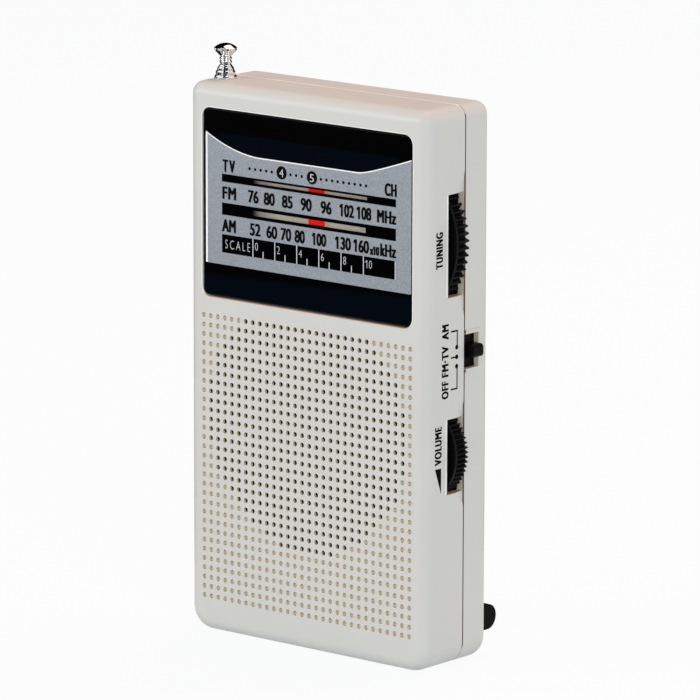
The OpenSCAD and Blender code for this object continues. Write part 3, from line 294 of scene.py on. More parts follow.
class Finish(Nodes):
    """A material that is being made."""

    def __init__(self, name):
        self.material = bpy.data.materials.new(name)
        self.material.use_nodes = True
        super().__init__(self.material.node_tree)
        self.output = self.tree.nodes.new("ShaderNodeOutputMaterial")

    def place(self, centre=(0, 0, 0), scale=(1, 1, 1)):
        """Object coordinates, moved so that centre is at zero, then scaled."""
        spot = self.node("ShaderNodeTexCoord", out="Object")
        sockets = {"Vector": spot, "Location": centre, "Scale": scale}
        return self.node("ShaderNodeMapping", {"vector_type": "TEXTURE"}, sockets)

    def axes(self, spot):
        """The three parts of a place."""
        parts = self.tree.nodes.new("ShaderNodeSeparateXYZ")
        self.tree.links.new(spot.socket, parts.inputs[0])
        return [Wire(self.tree, parts.outputs[i]) for i in range(3)]

    def noise(self, spot, scale, detail=3.0, rough=0.55):
        sockets = {"Vector": spot, "Scale": scale, "Detail": detail, "Roughness": rough}
        return self.node("ShaderNodeTexNoise", {"noise_dimensions": "3D"}, sockets)

    def rise(self, value, low, high, smooth=False):
        """0 below low, 1 above high, straight or smooth between."""
        settings = {"interpolation_type": "SMOOTHSTEP" if smooth else "LINEAR", "clamp": True}
        return self.node("ShaderNodeMapRange", settings, {0: value, 1: low, 2: high, 3: 0, 4: 1})

    def span(self, value, low, high, edge):
        """1 between low and high, 0 outside, with an edge of that width."""
        up = self.rise(value, low - edge, low + edge)
        down = self.rise(value, high - edge, high + edge)
        return up * (1 - down)

    def blend(self, mask, first, second):
        """The first colour where the mask is 0, the second where it is 1."""
        return self.node("ShaderNodeMix", {"data_type": "RGBA"}, {0: mask, 6: first, 7: second}, out=2)

    def shade(self, tone, value, depth):
        """A colour made lighter and darker by a value round 0.5."""
        low = tuple(part * (1 - depth) for part in tone[:3]) + (1,)
        high = tuple(min(1, part * (1 + depth)) for part in tone[:3]) + (1,)
        return self.blend(self.rise(value, 0.3, 0.7), low, high)

    def bump(self, height, distance):
        return self.node("ShaderNodeBump", None, {"Height": height, "Distance": distance})

    def close(self, shader):
        """Makes that shader the material's surface."""
        self.tree.links.new(shader.socket, self.output.inputs["Surface"])
        return self.material

    def surface(self, sockets):
        return self.close(self.node("ShaderNodeBsdfPrincipled", None, sockets))


def colours():
    return bpy.context.scene.radio_colours


def sizes():
    return bpy.context.scene.radio_sizes


def once(items):
    """A list of the items in their order, each of them once."""
    return list(dict.fromkeys(items))


def paint(names, material):
    """Gives the named CAD nodes that material."""
    for name in names:
        mesh = frame["nodes"][name].data
        mesh.materials.clear()
        mesh.materials.append(material)


def moulded(
    name, tone, rough, grain=0.00002, grain_scale=2600, specular=0.5, cloud=0.05, scratch=0.0, glow=0.0
):
    """Moulded plastic with a fine grain, a slight cloudiness and, where asked, fine handling marks."""
    f = Finish(name)
    spot = f.place()
    cloudy = f.noise(spot, 45, 4)
    fine = f.noise(spot, grain_scale, 2)
    base = f.shade(tone, cloudy, cloud)
    gloss = rough + (cloudy - 0.5) * 0.12 + (fine - 0.5) * 0.1
    if scratch:
        rub = f.noise(f.place(scale=(0.12, 1, 1)), 900, 2)
        gloss = gloss + f.rise(rub, 0.62, 0.72) * scratch
    return f.surface({
        "Base Color": base,
        "Roughness": gloss,
        "Specular IOR Level": specular,
        "Emission Color": base,
        "Emission Strength": glow,
        "Normal": f.bump(fine, grain),
    })


def metal(name, tone, rough, brush=(1, 1, 1), scale=1500, depth=0.000004, spots=0.0):
    """Metal with fine drawn marks along one axis and a little uneven tarnish."""
    f = Finish(name)
    drawn = f.noise(f.place(scale=brush), scale, 3)
    dull = f.noise(f.place(), 160, 4)
    base = f.shade(tone, dull, 0.06 + spots)
    gloss = rough + (dull - 0.5) * 0.1 + (drawn - 0.5) * 0.12
    return f.surface({
        "Base Color": base,
        "Metallic": 1.0,
        "Roughness": gloss,
        "Normal": f.bump(drawn, depth),
    })


class RADIO_OT_stage(bpy.types.Operator):
    """Makes the camera, the lamps, the pale floor and the white background"""

    bl_idname = "radio.stage"
    bl_label = "Camera, light and floor"

    def execute(self, context):
        light = context.scene.radio_light
        self.camera(context.scene)
        self.sky(context.scene, light.sky)
        for name, place, size, tone in LAMPS:
            lamp = self.lamp(name + "_lamp", place, getattr(light, name), size, tone)
            lamp.visible_glossy = name != "back"
        self.floor(light)
        for name, start, end, strips in SCREENS:
            self.screen(name, math.radians(start), math.radians(end), strips)
        context.scene.view_settings.view_transform = "Standard"
        return {"FINISHED"}

    def camera(self, scene):
        data = bpy.data.cameras.new("camera")
        data.sensor_width = 36
        data.lens = CAMERA_LENS
        data.clip_start = 0.05
        data.clip_end = 50
        camera = bpy.data.objects.new("camera", data)
        turn = Matrix(CAMERA_AXES).transposed().to_4x4()
        camera.matrix_world = Matrix.Translation(CAMERA_PLACE) @ turn
        scene.collection.objects.link(camera)
        scene.camera = camera

    def seen(self, f):
        """1 for what the camera sees straight, in gloss or through glass."""
        path = f.tree.nodes.new("ShaderNodeLightPath")
        straight, gloss, glass = [
            Wire(f.tree, path.outputs[f"Is {kind} Ray"]) for kind in ("Camera", "Glossy", "Transmission")
        ]
        return straight.most(gloss).most(glass)

    def sky(self, scene, strength):
        world = bpy.data.worlds.new("studio")
        world.use_nodes = True
        f = Nodes(world.node_tree)
        even = f.node("ShaderNodeBackground", None, {"Color": (1, 1, 1, 1), "Strength": strength})
        white = f.node("ShaderNodeBackground", None, {"Color": (1, 1, 1, 1), "Strength": 1.0})
        both = f.node("ShaderNodeMixShader", None, {0: self.seen(f), 1: even, 2: white})
        output = f.tree.nodes.new("ShaderNodeOutputWorld")
        f.tree.links.new(both.socket, output.inputs["Surface"])
        scene.world = world

    def lamp(self, name, place, power, size, tone):
        data = bpy.data.lights.new(name, "AREA")
        data.energy = power
        data.size = size
        data.color = tone
        lamp = bpy.data.objects.new(name, data)
        aim = LAMP_AIM - Vector(place)
        lamp.matrix_world = Matrix.Translation(place) @ aim.to_track_quat("-Z", "Y").to_matrix().to_4x4()
        bpy.context.scene.collection.objects.link(lamp)
        return lamp

    def screen(self, name, start, end, strips):
        """Dark cloth on the floor and on an arc round the radio, which only polished surfaces show."""
        bm = bmesh.new()
        for strip in strips:
            verts = [bm.verts.new((out * math.cos(start), out * math.sin(start), up)) for out, up in strip]
            edges = [bm.edges.new(pair) for pair in zip(verts, verts[1:])]
            bmesh.ops.spin(
                bm, geom=verts + edges, cent=(0, 0, 0), axis=(0, 0, 1), dvec=(0, 0, 0),
                angle=end - start, steps=16, use_duplicate=False,
            )
        bmesh.ops.recalc_face_normals(bm, faces=bm.faces)
        mesh = bpy.data.meshes.new(name)
        bm.to_mesh(mesh)
        bm.free()
        f = Finish(name + "_cloth")
        weave = f.noise(f.place(), 200, 2)
        cloth = f.node("ShaderNodeBsdfDiffuse", None, {"Color": f.shade(linear(16, 16, 18), weave, 0.2)})
        mesh.materials.append(f.close(cloth))
        screen = bpy.data.objects.new(name, mesh)
        bpy.context.scene.collection.objects.link(screen)
        screen.visible_camera = False
        screen.visible_diffuse = False
        screen.visible_transmission = False
        screen.visible_shadow = False

    def floor(self, light):
        mesh = bpy.data.meshes.new("floor")
        bm = bmesh.new()
        bmesh.ops.create_grid(bm, x_segments=8, y_segments=8, size=9)
        bm.to_mesh(mesh)
        bm.free()
        mesh.transform(Matrix.Translation((0, 0, -0.00005)))
        floor = bpy.data.objects.new("floor", mesh)
        bpy.context.scene.collection.objects.link(floor)
        f = Finish("floor_paper")
        paper = f.noise(f.place(), 300, 3)
        matt = f.node("ShaderNodeBsdfDiffuse", None, {"Color": f.shade(light.floor_tone, paper, 0.01)})
        glow = f.node("ShaderNodeEmission", None, {"Color": (1, 1, 1, 1), "Strength": 1.0})
        shown = self.seen(f) * (1 - light.floor_shade)
        both = f.node("ShaderNodeMixShader", None, {0: shown, 1: matt, 2: glow})
        mesh.materials.append(f.close(both))


class RADIO_OT_case(bpy.types.Operator):
    """Finishes the front shell, the rear shell, the battery door and the lug"""

    bl_idname = "radio.case"
    bl_label = "Case"

    def execute(self, context):
        front = self.shell("case_plastic_front", True)
        rear = self.shell("case_plastic_rear", False)
        self.rolled("front_shell", "front_case", sizes().front_roll, case_low.y, 1, front)
        self.rolled("rear_shell", "rear_case", sizes().rear_roll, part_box("rear_case")[1].y, -1, rear)
        paint(["front_case"], front)
        paint(["rear_case", "battery_door"], rear)
        paint(["strap_lug"], moulded("lug_plastic", linear(6, 6, 7), 0.4, specular=0.04, scratch=0.1))
        return {"FINISHED"}

    def rolled(self, name, node, roll, face_y, inward, material):
        """A copy of a shell whose corners are rolled round where its rounded edges meet."""
        s = sizes()
        plain = frame["nodes"][node].data.copy()
        if "custom_normal" in plain.attributes:
            plain.attributes.remove(plain.attributes["custom_normal"])
        bm = bmesh.new()
        bm.from_mesh(plain)
        bpy.data.meshes.remove(plain)
        bmesh.ops.remove_doubles(bm, verts=bm.verts, dist=1e-6)
        for sx in (-1, 1):
            for sz, edge_z, radius in ((1, case_high.z, s.corner_top), (-1, case_low.z, s.corner_low)):
                axis = Vector((sx * (SIDE_X - radius), face_y, edge_z - sz * radius))
                self.corner(bm, axis, sx, sz, radius, roll, inward)
        mesh = bpy.data.meshes.new(name)
        bm.to_mesh(mesh)
        bm.free()
        mesh.materials.append(material)
        mesh.shade_smooth()
        mesh.set_sharp_from_angle(angle=math.radians(30))
        piece = bpy.data.objects.new(name, mesh)
        bpy.context.scene.collection.objects.link(piece)
        even = piece.modifiers.new("even_shading", "WEIGHTED_NORMAL")
        even.keep_sharp = True
        even.weight = 80
        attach(piece, "case")
        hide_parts(node)

    def corner(self, bm, axis, sx, sz, radius, roll, inward):
        """Cuts one corner out of the shell's outer skin and spins the edge's own profile round it."""
        small = 1e-6

        def spot(co):
            return (co.x - axis.x) * sx, (co.z - axis.z) * sz, (co.y - axis.y) * inward

        def touched():
            spots = {v: spot(v.co) for v in bm.verts}
            wide = [v for v, p in spots.items() if p[0] > small]
            high = {v for v, p in spots.items() if p[1] > small}
            near = {v for v, p in spots.items() if p[2] < roll - small}
            out = []
            for face in once(f for v in wide for f in v.link_faces):
                corners = face.verts
                if any(v in high for v in corners) and any(v in near for v in corners):
                    out.append(face)
            return out

        seat = Vector((axis.x, axis.y + inward * roll, axis.z))
        for normal, centre in (((1, 0, 0), axis), ((0, 0, 1), axis), ((0, 1, 0), seat)):
            faces = touched()
            edges = once(e for f in faces for e in f.edges)
            verts = once(v for f in faces for v in f.verts)
            geom = faces + edges + verts
            bmesh.ops.bisect_plane(bm, geom=geom, dist=small, plane_co=centre, plane_no=normal)
        gone = []
        for face in touched():
            out, up, depth = spot(face.calc_center_median())
            if out > 0 and up > 0 and depth < roll:
                if depth < 0.9 * sizes().wall or math.hypot(out, up) > radius - 0.5 * sizes().wall:
                    gone.append(face)
        bmesh.ops.delete(bm, geom=gone, context="FACES")
        profile = []
        for edge in bm.edges:
            spots = [spot(v.co) for v in edge.verts]
            flat = max(abs(p[0]) for p in spots) < 2 * small
            if flat and edge.is_boundary and min(p[1] for p in spots) > -2 * small:
                profile.append(edge)
        if not profile:
            raise RuntimeError("no open profile at a corner of the case")
        before = set(bm.faces)
        verts = once(v for e in profile for v in e.verts)
        bmesh.ops.spin(
            bm, geom=profile + verts, cent=axis, axis=(0, 1, 0), dvec=(0, 0, 0),
            angle=math.radians(90) * sx * sz, steps=9, use_duplicate=False,
        )
        fresh = [f for f in bm.faces if f not in before]
        for face in fresh:
            face.normal_update()
            if face.normal.dot(face.calc_center_median() - seat) < 0:
                face.normal_flip()
        new = {v for f in fresh for v in f.verts}
        rims = [v for v in bm.verts if v.is_boundary or v in new]
        bmesh.ops.remove_doubles(bm, verts=rims, dist=1.5e-5)

    def shell(self, name, grille):
        tones = colours()
        f = Finish(name)
        spot = f.place((0, FRONT_Y, 0))
        x, depth, z = f.axes(spot)
        cloudy = f.noise(spot, 30, 4)
        pores = f.noise(spot, 3200, 2)
        flow = f.noise(f.place(scale=(1, 1, 3)), 14, 3)
        base = f.shade(tones.shell, cloudy * 0.6 + flow * 0.4, 0.02)
        gloss = 0.4 + (cloudy - 0.5) * 0.1 + (pores - 0.5) * 0.08
        joint = sizes().seam_y
        skin = 0.00024
        outside = f.rise(abs(x), SIDE_X - skin, SIDE_X - skin + 0.00002)
        outside = outside.most(1 - f.rise(z, skin - 0.00002, skin))
        above = f.rise(z, case_high.z - skin, case_high.z - skin + 0.00002)
        gloss = gloss + f.rise(z, case_high.z - 0.0012, case_high.z, True) * 0.22
        # Joint of the two shells: painted warm bounce light on its inner face, and a dark line where it opens
        # out, part dust and part painted shade.
        groove = f.span(depth, joint - 0.0001, joint + 0.00024, 0.00003)
        base = f.blend(groove * (1 - outside.most(above)) * 0.35, base, tones.tan)
        base = f.blend(groove * outside, base, tones.seam)
        # Painted highlight along the top just in front of the joint.
        base = f.blend(f.span(depth, joint - 0.00034, joint + 0.0001, 0.00004) * above, base, tones.polished)
        right = f.rise(x, SIDE_X - 0.0019, SIDE_X - 0.0018)
        if grille:
            base = self.holes(f, base, x, depth, z)
            # Painted highlight round the dial recess, turning into painted warm bounce light along its lower
            # edge.
            under = 1 - f.rise(z, lens_low.z + 0.0002, lens_low.z + 0.0006)
            bright = f.blend(under * 0.95, tones.polished, tones.painted_warm_bounce)
            base = f.blend(self.rim(f, x, depth, z), base, bright)
            near, far = SLOT_DEPTH
            # Painted highlight along the front edge of each wheel slot, and painted warm bounce light on the
            # sill under it.
            for low, high in WHEEL_SLOTS:
                front = f.span(depth, near - 0.00006, near + 0.0002, 0.00003) * f.span(z, low, high, 0.0001)
                base = f.blend(front * right * 0.9, base, tones.polished)
                sill = f.span(z, low - 0.00012, low + 0.00004, 0.00002) * f.span(depth, near, far, 0.0001)
                base = f.blend(sill * right * 0.7, base, tones.painted_warm_bounce)
        else:
            # Painted warm bounce light on the inner walls of the switch opening.
            opening = f.span(depth, *SWITCH_DEPTH, 0.0001) * f.span(z, *SWITCH_HEIGHT, 0.0001)
            inner = right * (1 - f.rise(x, SIDE_X + 0.0002, SIDE_X + 0.00025))
            base = f.blend(opening * inner * 0.6, base, tones.tan)
        return f.surface({
            "Base Color": base,
            "Roughness": gloss,
            "Specular IOR Level": 0.4,
            "Normal": f.bump(pores, 0.000012),
        })

    def holes(self, f, base, x, depth, z):
        """Painted warm bounce light inside the moulded holes, deeper in the open ones, and painted shade at
        the upper right of each.
        """
        tones = colours()
        field = f.span(x, -0.0295, 0.0295, 0.0005) * f.span(z, 0.006, 0.069, 0.0005)
        deep = f.rise(depth, 0.00004, 0.00016) * (1 - f.rise(depth, 0.0017, 0.0019))
        across = x.sum("FRACT", (x - FIRST_HOLE_X) / HOLE_STEP_X + 0.5) - 0.5
        along = x.sum("FRACT", (z - FIRST_HOLE_Z) / HOLE_STEP_Z + 0.5) - 0.5
        # Painted shade: this mask darkens the upper right of each hole.
        shaded = f.rise(across * 0.6 + along, -0.08, 0.24)
        low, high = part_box("speaker_frame")
        aside = x - across * HOLE_STEP_X
        above = z - along * HOLE_STEP_Z - (low.z + high.z) / 2
        away = (aside * aside + above * above) ** 0.5
        reach = high.x - OPEN_MARGIN
        through = 1 - f.rise(away, reach - 0.00002, reach + 0.00002)
        tone = f.blend(through, tones.tan, tones.painted_hole_bounce)
        tone = f.blend(shaded * 0.8, tone, tones.seam)
        return f.blend(field * deep * 0.85, base, tone)

    def rim(self, f, x, depth, z):
        """1 on the thin painted highlight round the dial's recess."""
        round_r = 0.0022
        half = (lens_high - lens_low) / 2
        middle = (lens_high + lens_low) / 2
        across = (abs(x - middle.x) - (half.x - round_r)).most(0)
        along = (abs(z - middle.z) - (half.z - round_r)).most(0)
        away = (across * across + along * along) ** 0.5 - round_r
        return f.span(away, 0.00004, 0.0003, 0.00006) * (1 - f.rise(depth, 0.0002, 0.0003)) * 0.9


class RADIO_OT_dial(bpy.types.Operator):
    """Paints the dial lens, the plate behind its windows and the pointer"""

    bl_idname = "radio.dial"
    bl_label = "Dial"

    def execute(self, context):
        paint(["dial_lens"], self.lens())
        paint(["dial_backing"], self.backing())
        # Painted light: the pointer glows a little so that it stays bright behind the lens.
        red = moulded("pointer_plastic", colours().red, 0.5, specular=0.2, cloud=0.04, glow=0.45)
        paint(["dial_pointer"], red)
        return {"FINISHED"}

    def backing(self):
        """Pale paint behind the windows, with a painted shadow towards the left end where no light comes in
        and a faint painted glow.
        """
        f = Finish("backing_paint")
        spot = f.place()
        x = f.axes(spot)[0]
        dust = f.noise(spot, 700, 3)
        lit = f.rise(x, -0.0176, -0.0148, True)
        base = f.blend(lit, linear(16, 15, 14), f.shade(colours().backing, dust, 0.05))
        return f.surface({
            "Base Color": base,
            "Roughness": 0.6 + (dust - 0.5) * 0.1,
            # Painted glow that brightens the plate behind the windows.
            "Emission Color": base,
            "Emission Strength": 0.2,
            "Normal": f.bump(dust, 0.000006),
        })

    def lens(self):
        tones = colours()
        f = Finish("dial_lens_paint")
        spot = f.place((0, FRONT_Y, 0))
        x, depth, z = f.axes(spot)
        edge = PAINT_EDGE
        left = ((-0.013 - x) / 0.0139).most(0)
        right = ((x - 0.0135) / 0.0145).most(0)
        curve = FIELD_TOP + left * 0.0006 + left * left * 0.0033 + right * right * 0.00512 / (right + 0.25)
        below = 1 - f.rise(z - curve, -edge, edge)
        inside = f.rise(x, FIELD_LEFT - edge, FIELD_LEFT + edge)
        field = below * inside * f.rise(z, FIELD_LOW - edge, FIELD_LOW + edge)
        rim = f.span(z - curve, 0, sizes().outline_w, edge) * f.rise(x, OUTLINE_LEFT, OUTLINE_LEFT + 0.0001)
        side = f.span(x, OUTLINE_LEFT, FIELD_LEFT, edge) * below * f.rise(z, FIELD_LOW, FIELD_LOW + 0.00005)
        fm_bar, am_bar, log_bar = [f.span(z, *bar, edge) for bar in (FM_BAR, AM_BAR, LOG_BAR)]
        dark = f.span(x, *BARS_X, edge) * fm_bar.most(am_bar).most(log_bar)
        fm_window, am_window = [
            f.span(x, *wide, edge) * f.span(z, *high, edge) for wide, high in (FM_WINDOW, AM_WINDOW)
        ]
        window = fm_window.most(am_window)
        face = 1 - f.rise(depth, lens_low.y - FRONT_Y + 0.00003, lens_low.y - FRONT_Y + 0.00006)
        flakes = f.noise(spot, 4600, 2, 0.7)
        drift = f.noise(spot, 60, 3)
        silver = f.shade(tones.silver, flakes, 0.26)
        # Painted reflection: navy sheen between the silver curve and the chord in the upper band, and in the
        # lower part of the lower band.
        chord = f.rise(0.1065 - z, -0.0002, 0.0002) * f.span(x, -0.0235, 0.0242, 0.0008)
        upper = f.rise(z, 0.0785, 0.079)
        lower = (1 - upper) * f.rise(0.0772 - z + x * 0.03, -0.0006, 0.0006)
        black = f.blend((upper * chord).most(lower) * (1 - dark), tones.lens_black, tones.painted_navy_sheen)
        # Painted glint: the bevel is a little lighter than the black print.
        black = f.blend(1 - face, black, tones.lens_edge_glint)
        painted = field * (1 - dark) * face
        base = f.blend(painted, black, silver)
        base = f.blend(rim.most(side) * face, base, tones.polished)
        haze = f.noise(spot, 90, 3)
        gloss = 0.07 + (haze - 0.5) * 0.05 + painted * 0.2
        return f.surface({
            "Base Color": base,
            "Metallic": painted * 0.15,
            "Roughness": gloss,
            "Specular IOR Level": 0.22,
            "Alpha": 1 - window * 0.96,
            "Normal": f.bump(drift, 0.000004),
        })


class Print:
    """Flat printed marks collected into one mesh."""

    def __init__(self):
        self.bm = bmesh.new()

    def add(self, mesh, matrix):
        mesh.transform(matrix)
        self.bm.from_mesh(mesh)
        bpy.data.meshes.remove(mesh)

    def word(self, body, height, seat, width=None, bold=None, spread=1.0):
        """A word whose middle stands at the seat, with that height of a capital letter."""
        data = bpy.data.curves.new("word", "FONT")
        data.body = body
        data.size = 1
        data.align_x = "LEFT"
        data.resolution_u = 5
        data.space_character = spread
        bold = sizes().bold if bold is None else bold
        data.offset = min(0, bold)
        data.extrude = FONT_DEPTH
        holder = bpy.data.objects.new("word", data)
        bpy.context.scene.collection.objects.link(holder)
        bpy.context.view_layer.update()
        solid = holder.evaluated_get(bpy.context.evaluated_depsgraph_get())
        mesh = bpy.data.meshes.new_from_object(solid)
        bpy.data.objects.remove(holder)
        bpy.data.curves.remove(data)
        if "1" in body:
            self.flags(mesh)
        low = [min(v.co[i] for v in mesh.vertices) for i in range(2)]
        high = [max(v.co[i] for v in mesh.vertices) for i in range(2)]
        middle = Vector(((low[0] + high[0]) / 2, CAPITAL_MIDDLE, 0))
        grow = height / CAPITAL
        thick = grow * max(0, bold)
        squeeze = sizes().condensed
        if width is not None:
            squeeze = (width - 2 * thick) / (high[0] - low[0]) / grow
        shape = Matrix.Diagonal((grow * squeeze, grow, INK / FONT_DEPTH, 1)) @ Matrix.Translation(-middle)
        shifts = [(0, 0)] + [(i, j) for i in (-1, 1) for j in (-0.4, 0.4) if thick]
        for step, (i, j) in enumerate(shifts):
            move = Matrix.Translation((i * thick, j * thick, step * LIFT))
            self.add(mesh.copy(), seat @ move @ shape)
        bpy.data.meshes.remove(mesh)

    def flags(self, mesh):
        """Gives each plain upright stroke, which stands for a 1, its flag."""
        bm = bmesh.new()
        bm.from_mesh(mesh)
        free = dict.fromkeys(bm.verts)
        strokes = set()
        while free:
            group = [free.popitem()[0]]
            for vert in group:
                for other in [e.other_vert(vert) for e in vert.link_edges]:
                    if other in free:
                        del free[other]
                        group.append(other)
            left = min(v.co.x for v in group)
            right = max(v.co.x for v in group)
            if right - left < 0.2:
                strokes.add((round(left, 3), round(max(v.co.y for v in group), 3)))
        for left, top in sorted(strokes):
            corners = ((0.01, 0), (-0.03, 0), (-0.15, -0.12), (-0.15, -0.2), (0.01, -0.12))
            self.patch(bm, [(left + x, top + y) for x, y in corners], FONT_DEPTH)
        bmesh.ops.recalc_face_normals(bm, faces=bm.faces)
        bm.to_mesh(mesh)
        bm.free()

    def patch(self, bm, corners, half):
        """Adds a flat block with those corners, half as deep on either side of zero."""
        face = bm.faces.new([bm.verts.new((x, y, -half)) for x, y in corners])
        grown = bmesh.ops.extrude_face_region(bm, geom=[face])
        moved = [v for v in grown["geom"] if isinstance(v, bmesh.types.BMVert)]
        bmesh.ops.translate(bm, verts=moved, vec=(0, 0, 2 * half))

    def disc(self, radius, seat, sides=20):
        bmesh.ops.create_cone(
            self.bm, cap_ends=True, segments=sides, radius1=radius, radius2=radius, depth=2 * INK, matrix=seat
        )

    def bar(self, width, height, seat):
        bmesh.ops.create_cube(self.bm, size=1, matrix=seat @ Matrix.Diagonal((width, height, 2 * INK, 1)))

    def outline(self, corners, seat):
        """A flat patch with those corners."""
        mesh = bpy.data.meshes.new("patch")
        bm = bmesh.new()
        self.patch(bm, corners, INK)
        bmesh.ops.recalc_face_normals(bm, faces=bm.faces)
        bm.to_mesh(mesh)
        bm.free()
        self.add(mesh, seat)

    def finish(self, name, material, body="case"):
        mesh = bpy.data.meshes.new(name)
        self.bm.to_mesh(mesh)
        self.bm.free()
        mesh.materials.append(material)
        piece = bpy.data.objects.new(name, mesh)
        bpy.context.scene.collection.objects.link(piece)
        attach(piece, body)


def on_front(x, z, lift=0.0):
    """Seat on the face of the lens, at x and z in millimetres."""
    upright = Matrix.Rotation(math.radians(90), 4, "X")
    return Matrix.Translation((x * MM, LENS_Y - INK - lift, z * MM)) @ upright


def on_side(depth, z):
    """Seat on the right side at a depth and height in millimetres, with the words reading upwards."""
    axes = Matrix(((0, 0, 1), (0, -1, 0), (1, 0, 0))).to_4x4()
    return Matrix.Translation((SIDE_X - INK * 0.5, FRONT_Y + depth * MM, z * MM)) @ axes


def on_door(x, z):
    """Seat on the back of the battery door, at x and z in millimetres as seen from behind."""
    axes = Matrix(((-1, 0, 0), (0, 0, 1), (0, 1, 0))).to_4x4()
    return Matrix.Translation((-x * MM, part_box("battery_door")[1].y - INK * 0.5, z * MM)) @ axes


def ink(name, tone, rough):
    """Screen-printed ink, a little uneven."""
    f = Finish(name)
    patchy = f.noise(f.place(), 1400, 3)
    return f.surface({
        "Base Color": f.shade(tone, patchy, 0.12),
        "Roughness": rough + (patchy - 0.5) * 0.2,
        "Specular IOR Level": 0.03,
    })


# Words and numbers of the dial, with x, z and width in millimetres. The words also have their spacing.
DIAL_WORDS = (
    ("TV", -20.97, 99.78, 3.4, 1.5), ("CH", 22.44, 99.8, 3.15, 1.14), ("FM", -20.87, 94.1, 3.78, 1.14),
    ("MHz", 21.4, 94.1, 5.05, 1.1), ("AM", -20.97, 87.22, 3.8, 1.08), ("kHz", 21.83, 87.22, 4.2, 1.1),
)
DIAL_FIGURES = (
    (94.14, (
        ("76", -14.27, 2.85), ("80", -9.95, 3.0), ("85", -5.08, 2.9), ("90", 0.0, 2.95), ("96", 5.35, 2.95),
        ("102", 10.85, 3.85), ("108", 15.42, 3.88),
    )),
    (87.28, (
        ("52", -13.78, 2.95), ("60", -9.27, 2.95), ("70", -5.42, 2.82), ("80", -1.71, 2.75),
        ("100", 3.48, 3.83), ("130", 9.86, 4.25), ("160", 14.7, 4.13),
    )),
)
CHANNEL_DISCS = (("4", -6.62, 99.94), ("5", 1.56, 99.84))

# Rows of dots: x of the first one, and how many.
DOT_ROWS = ((-15.3, 5), (-4.22, 3), (3.92, 9))
DOT_STEP = 1.505
DOT_Z = 99.82

# Log scale: x of its first tick, its step, and the height of its middle.
SCALE_X = -14.41
SCALE_STEP = 5.942
SCALE_Z = 83.33
SCALE_END_X = 23.7
LONG_TICK = 0.00385
SHORT_TICK = 0.0014

# Words beside the controls, with depth, z and width in millimetres, and the spacing of them all.
SIDE_WORDS = (
    ("TUNING", 3.96, 87.8, 7.6), ("VOLUME", 3.85, 47.4, 8.0), ("AM", 5.96, 70.73, 3.2),
    ("FM·TV", 5.96, 64.65, 6.45), ("OFF", 5.96, 58.75, 3.8),
)
SIDE_SPREAD = 1.18

# Dots of the switch, and the lines from them: depth, z, length and whether it runs up.
SWITCH_DOTS = (67.12, 65.12, 63.17)
SWITCH_LINES = (
    (9.85, 68.9, 3.6, True), (8.93, 70.55, 2.2, False), (8.75, 65.12, 1.8, False),
    (9.85, 60.9, 4.8, True), (8.93, 58.55, 2.2, False),
)


class RADIO_OT_dial_print(bpy.types.Operator):
    """Prints the words, the numbers, the dots and the ticks of the dial"""

    bl_idname = "radio.dial_print"
    bl_label = "Dial print"

    def execute(self, context):
        s = sizes()
        dark = Print()
        for body, x, z, width, spread in DIAL_WORDS:
            dark.word(body, s.figure_h, on_front(x, z), width * MM, 1.2 * s.bold, spread)
        for z, row in DIAL_FIGURES:
            for body, x, width in row:
                dark.word(body, s.figure_h, on_front(x, z), width * MM)
        dark.word("x10", s.small_h, on_front(18.23, 86.75), 0.0025, 1.4 * s.bold)
        for start, count in DOT_ROWS:
            for step in range(count):
                dark.disc(s.dot_r, on_front(start + step * DOT_STEP, DOT_Z), 10)
        for body, x, z in CHANNEL_DISCS:
            dark.disc(s.disc_r, on_front(x, z), 28)
        dark.finish("dial_dark_print", ink("dial_ink", colours().ink, 0.35))
        pale = Print()
        for body, x, z in CHANNEL_DISCS:
            pale.word(body, 0.00175, on_front(x, z, 2.5 * INK), 0.00108, bold=-0.008)
        pale.word("SCALE", s.scale_word_h, on_front(-18.58, 83.34), 0.00672, bold=-0.02, spread=1.5)
        for step, body in enumerate("0 2 4 6 8 10".split()):
            x = SCALE_X + step * SCALE_STEP
            aside = 1.42 if len(body) > 1 else 0.97
            pale.bar(s.tick_w, LONG_TICK, on_front(x, SCALE_Z))
            pale.word(body, s.scale_figure_h, on_front(x + aside, 83.76), bold=-0.02)
            if step < 5:
                pale.bar(s.tick_w, SHORT_TICK, on_front(x + 2.78, 82.15))
        pale.bar(s.tick_w, LONG_TICK, on_front(SCALE_END_X, SCALE_Z))
        pale.finish("dial_pale_print", ink("dial_pale_ink", colours().pale_ink, 0.35))
        return {"FINISHED"}


class RADIO_OT_side_print(bpy.types.Operator):
    """Prints the words and marks beside the wheels and the switch, and those on the battery door"""

    bl_idname = "radio.side_print"
    bl_label = "Side print"

    def execute(self, context):
        s = sizes()
        dark = Print()
        for body, depth, z, width in SIDE_WORDS:
            dark.word(body, s.side_h, on_side(depth, z), width * MM, s.side_bold, SIDE_SPREAD)
        for z in SWITCH_DOTS:
            dark.disc(s.side_dot_r, on_side(9.7, z))
        for depth, z, run, upwards in SWITCH_LINES:
            across = (run * MM, s.side_line_w) if upwards else (s.side_line_w, run * MM)
            dark.bar(*across, on_side(depth, z))
        dark.outline([(0.0, 0.0), (0.0054, 0.0), (0.0054, 0.00196)], on_side(4.88, 37.27))
        dark.finish("side_print", ink("side_ink", colours().ink, 0.5))
        door = Print()
        door.word("OPEN", 0.0021, on_door(0, 14.4), 0.0078, 0.01, 1.1)
        door.outline([(-0.0015, 0.0), (0.0, -0.0022), (0.0015, 0.0)], on_door(0, 11.6))
        door.finish("door_print", ink("door_ink", colours().door_ink, 0.5), "door")
        return {"FINISHED"}


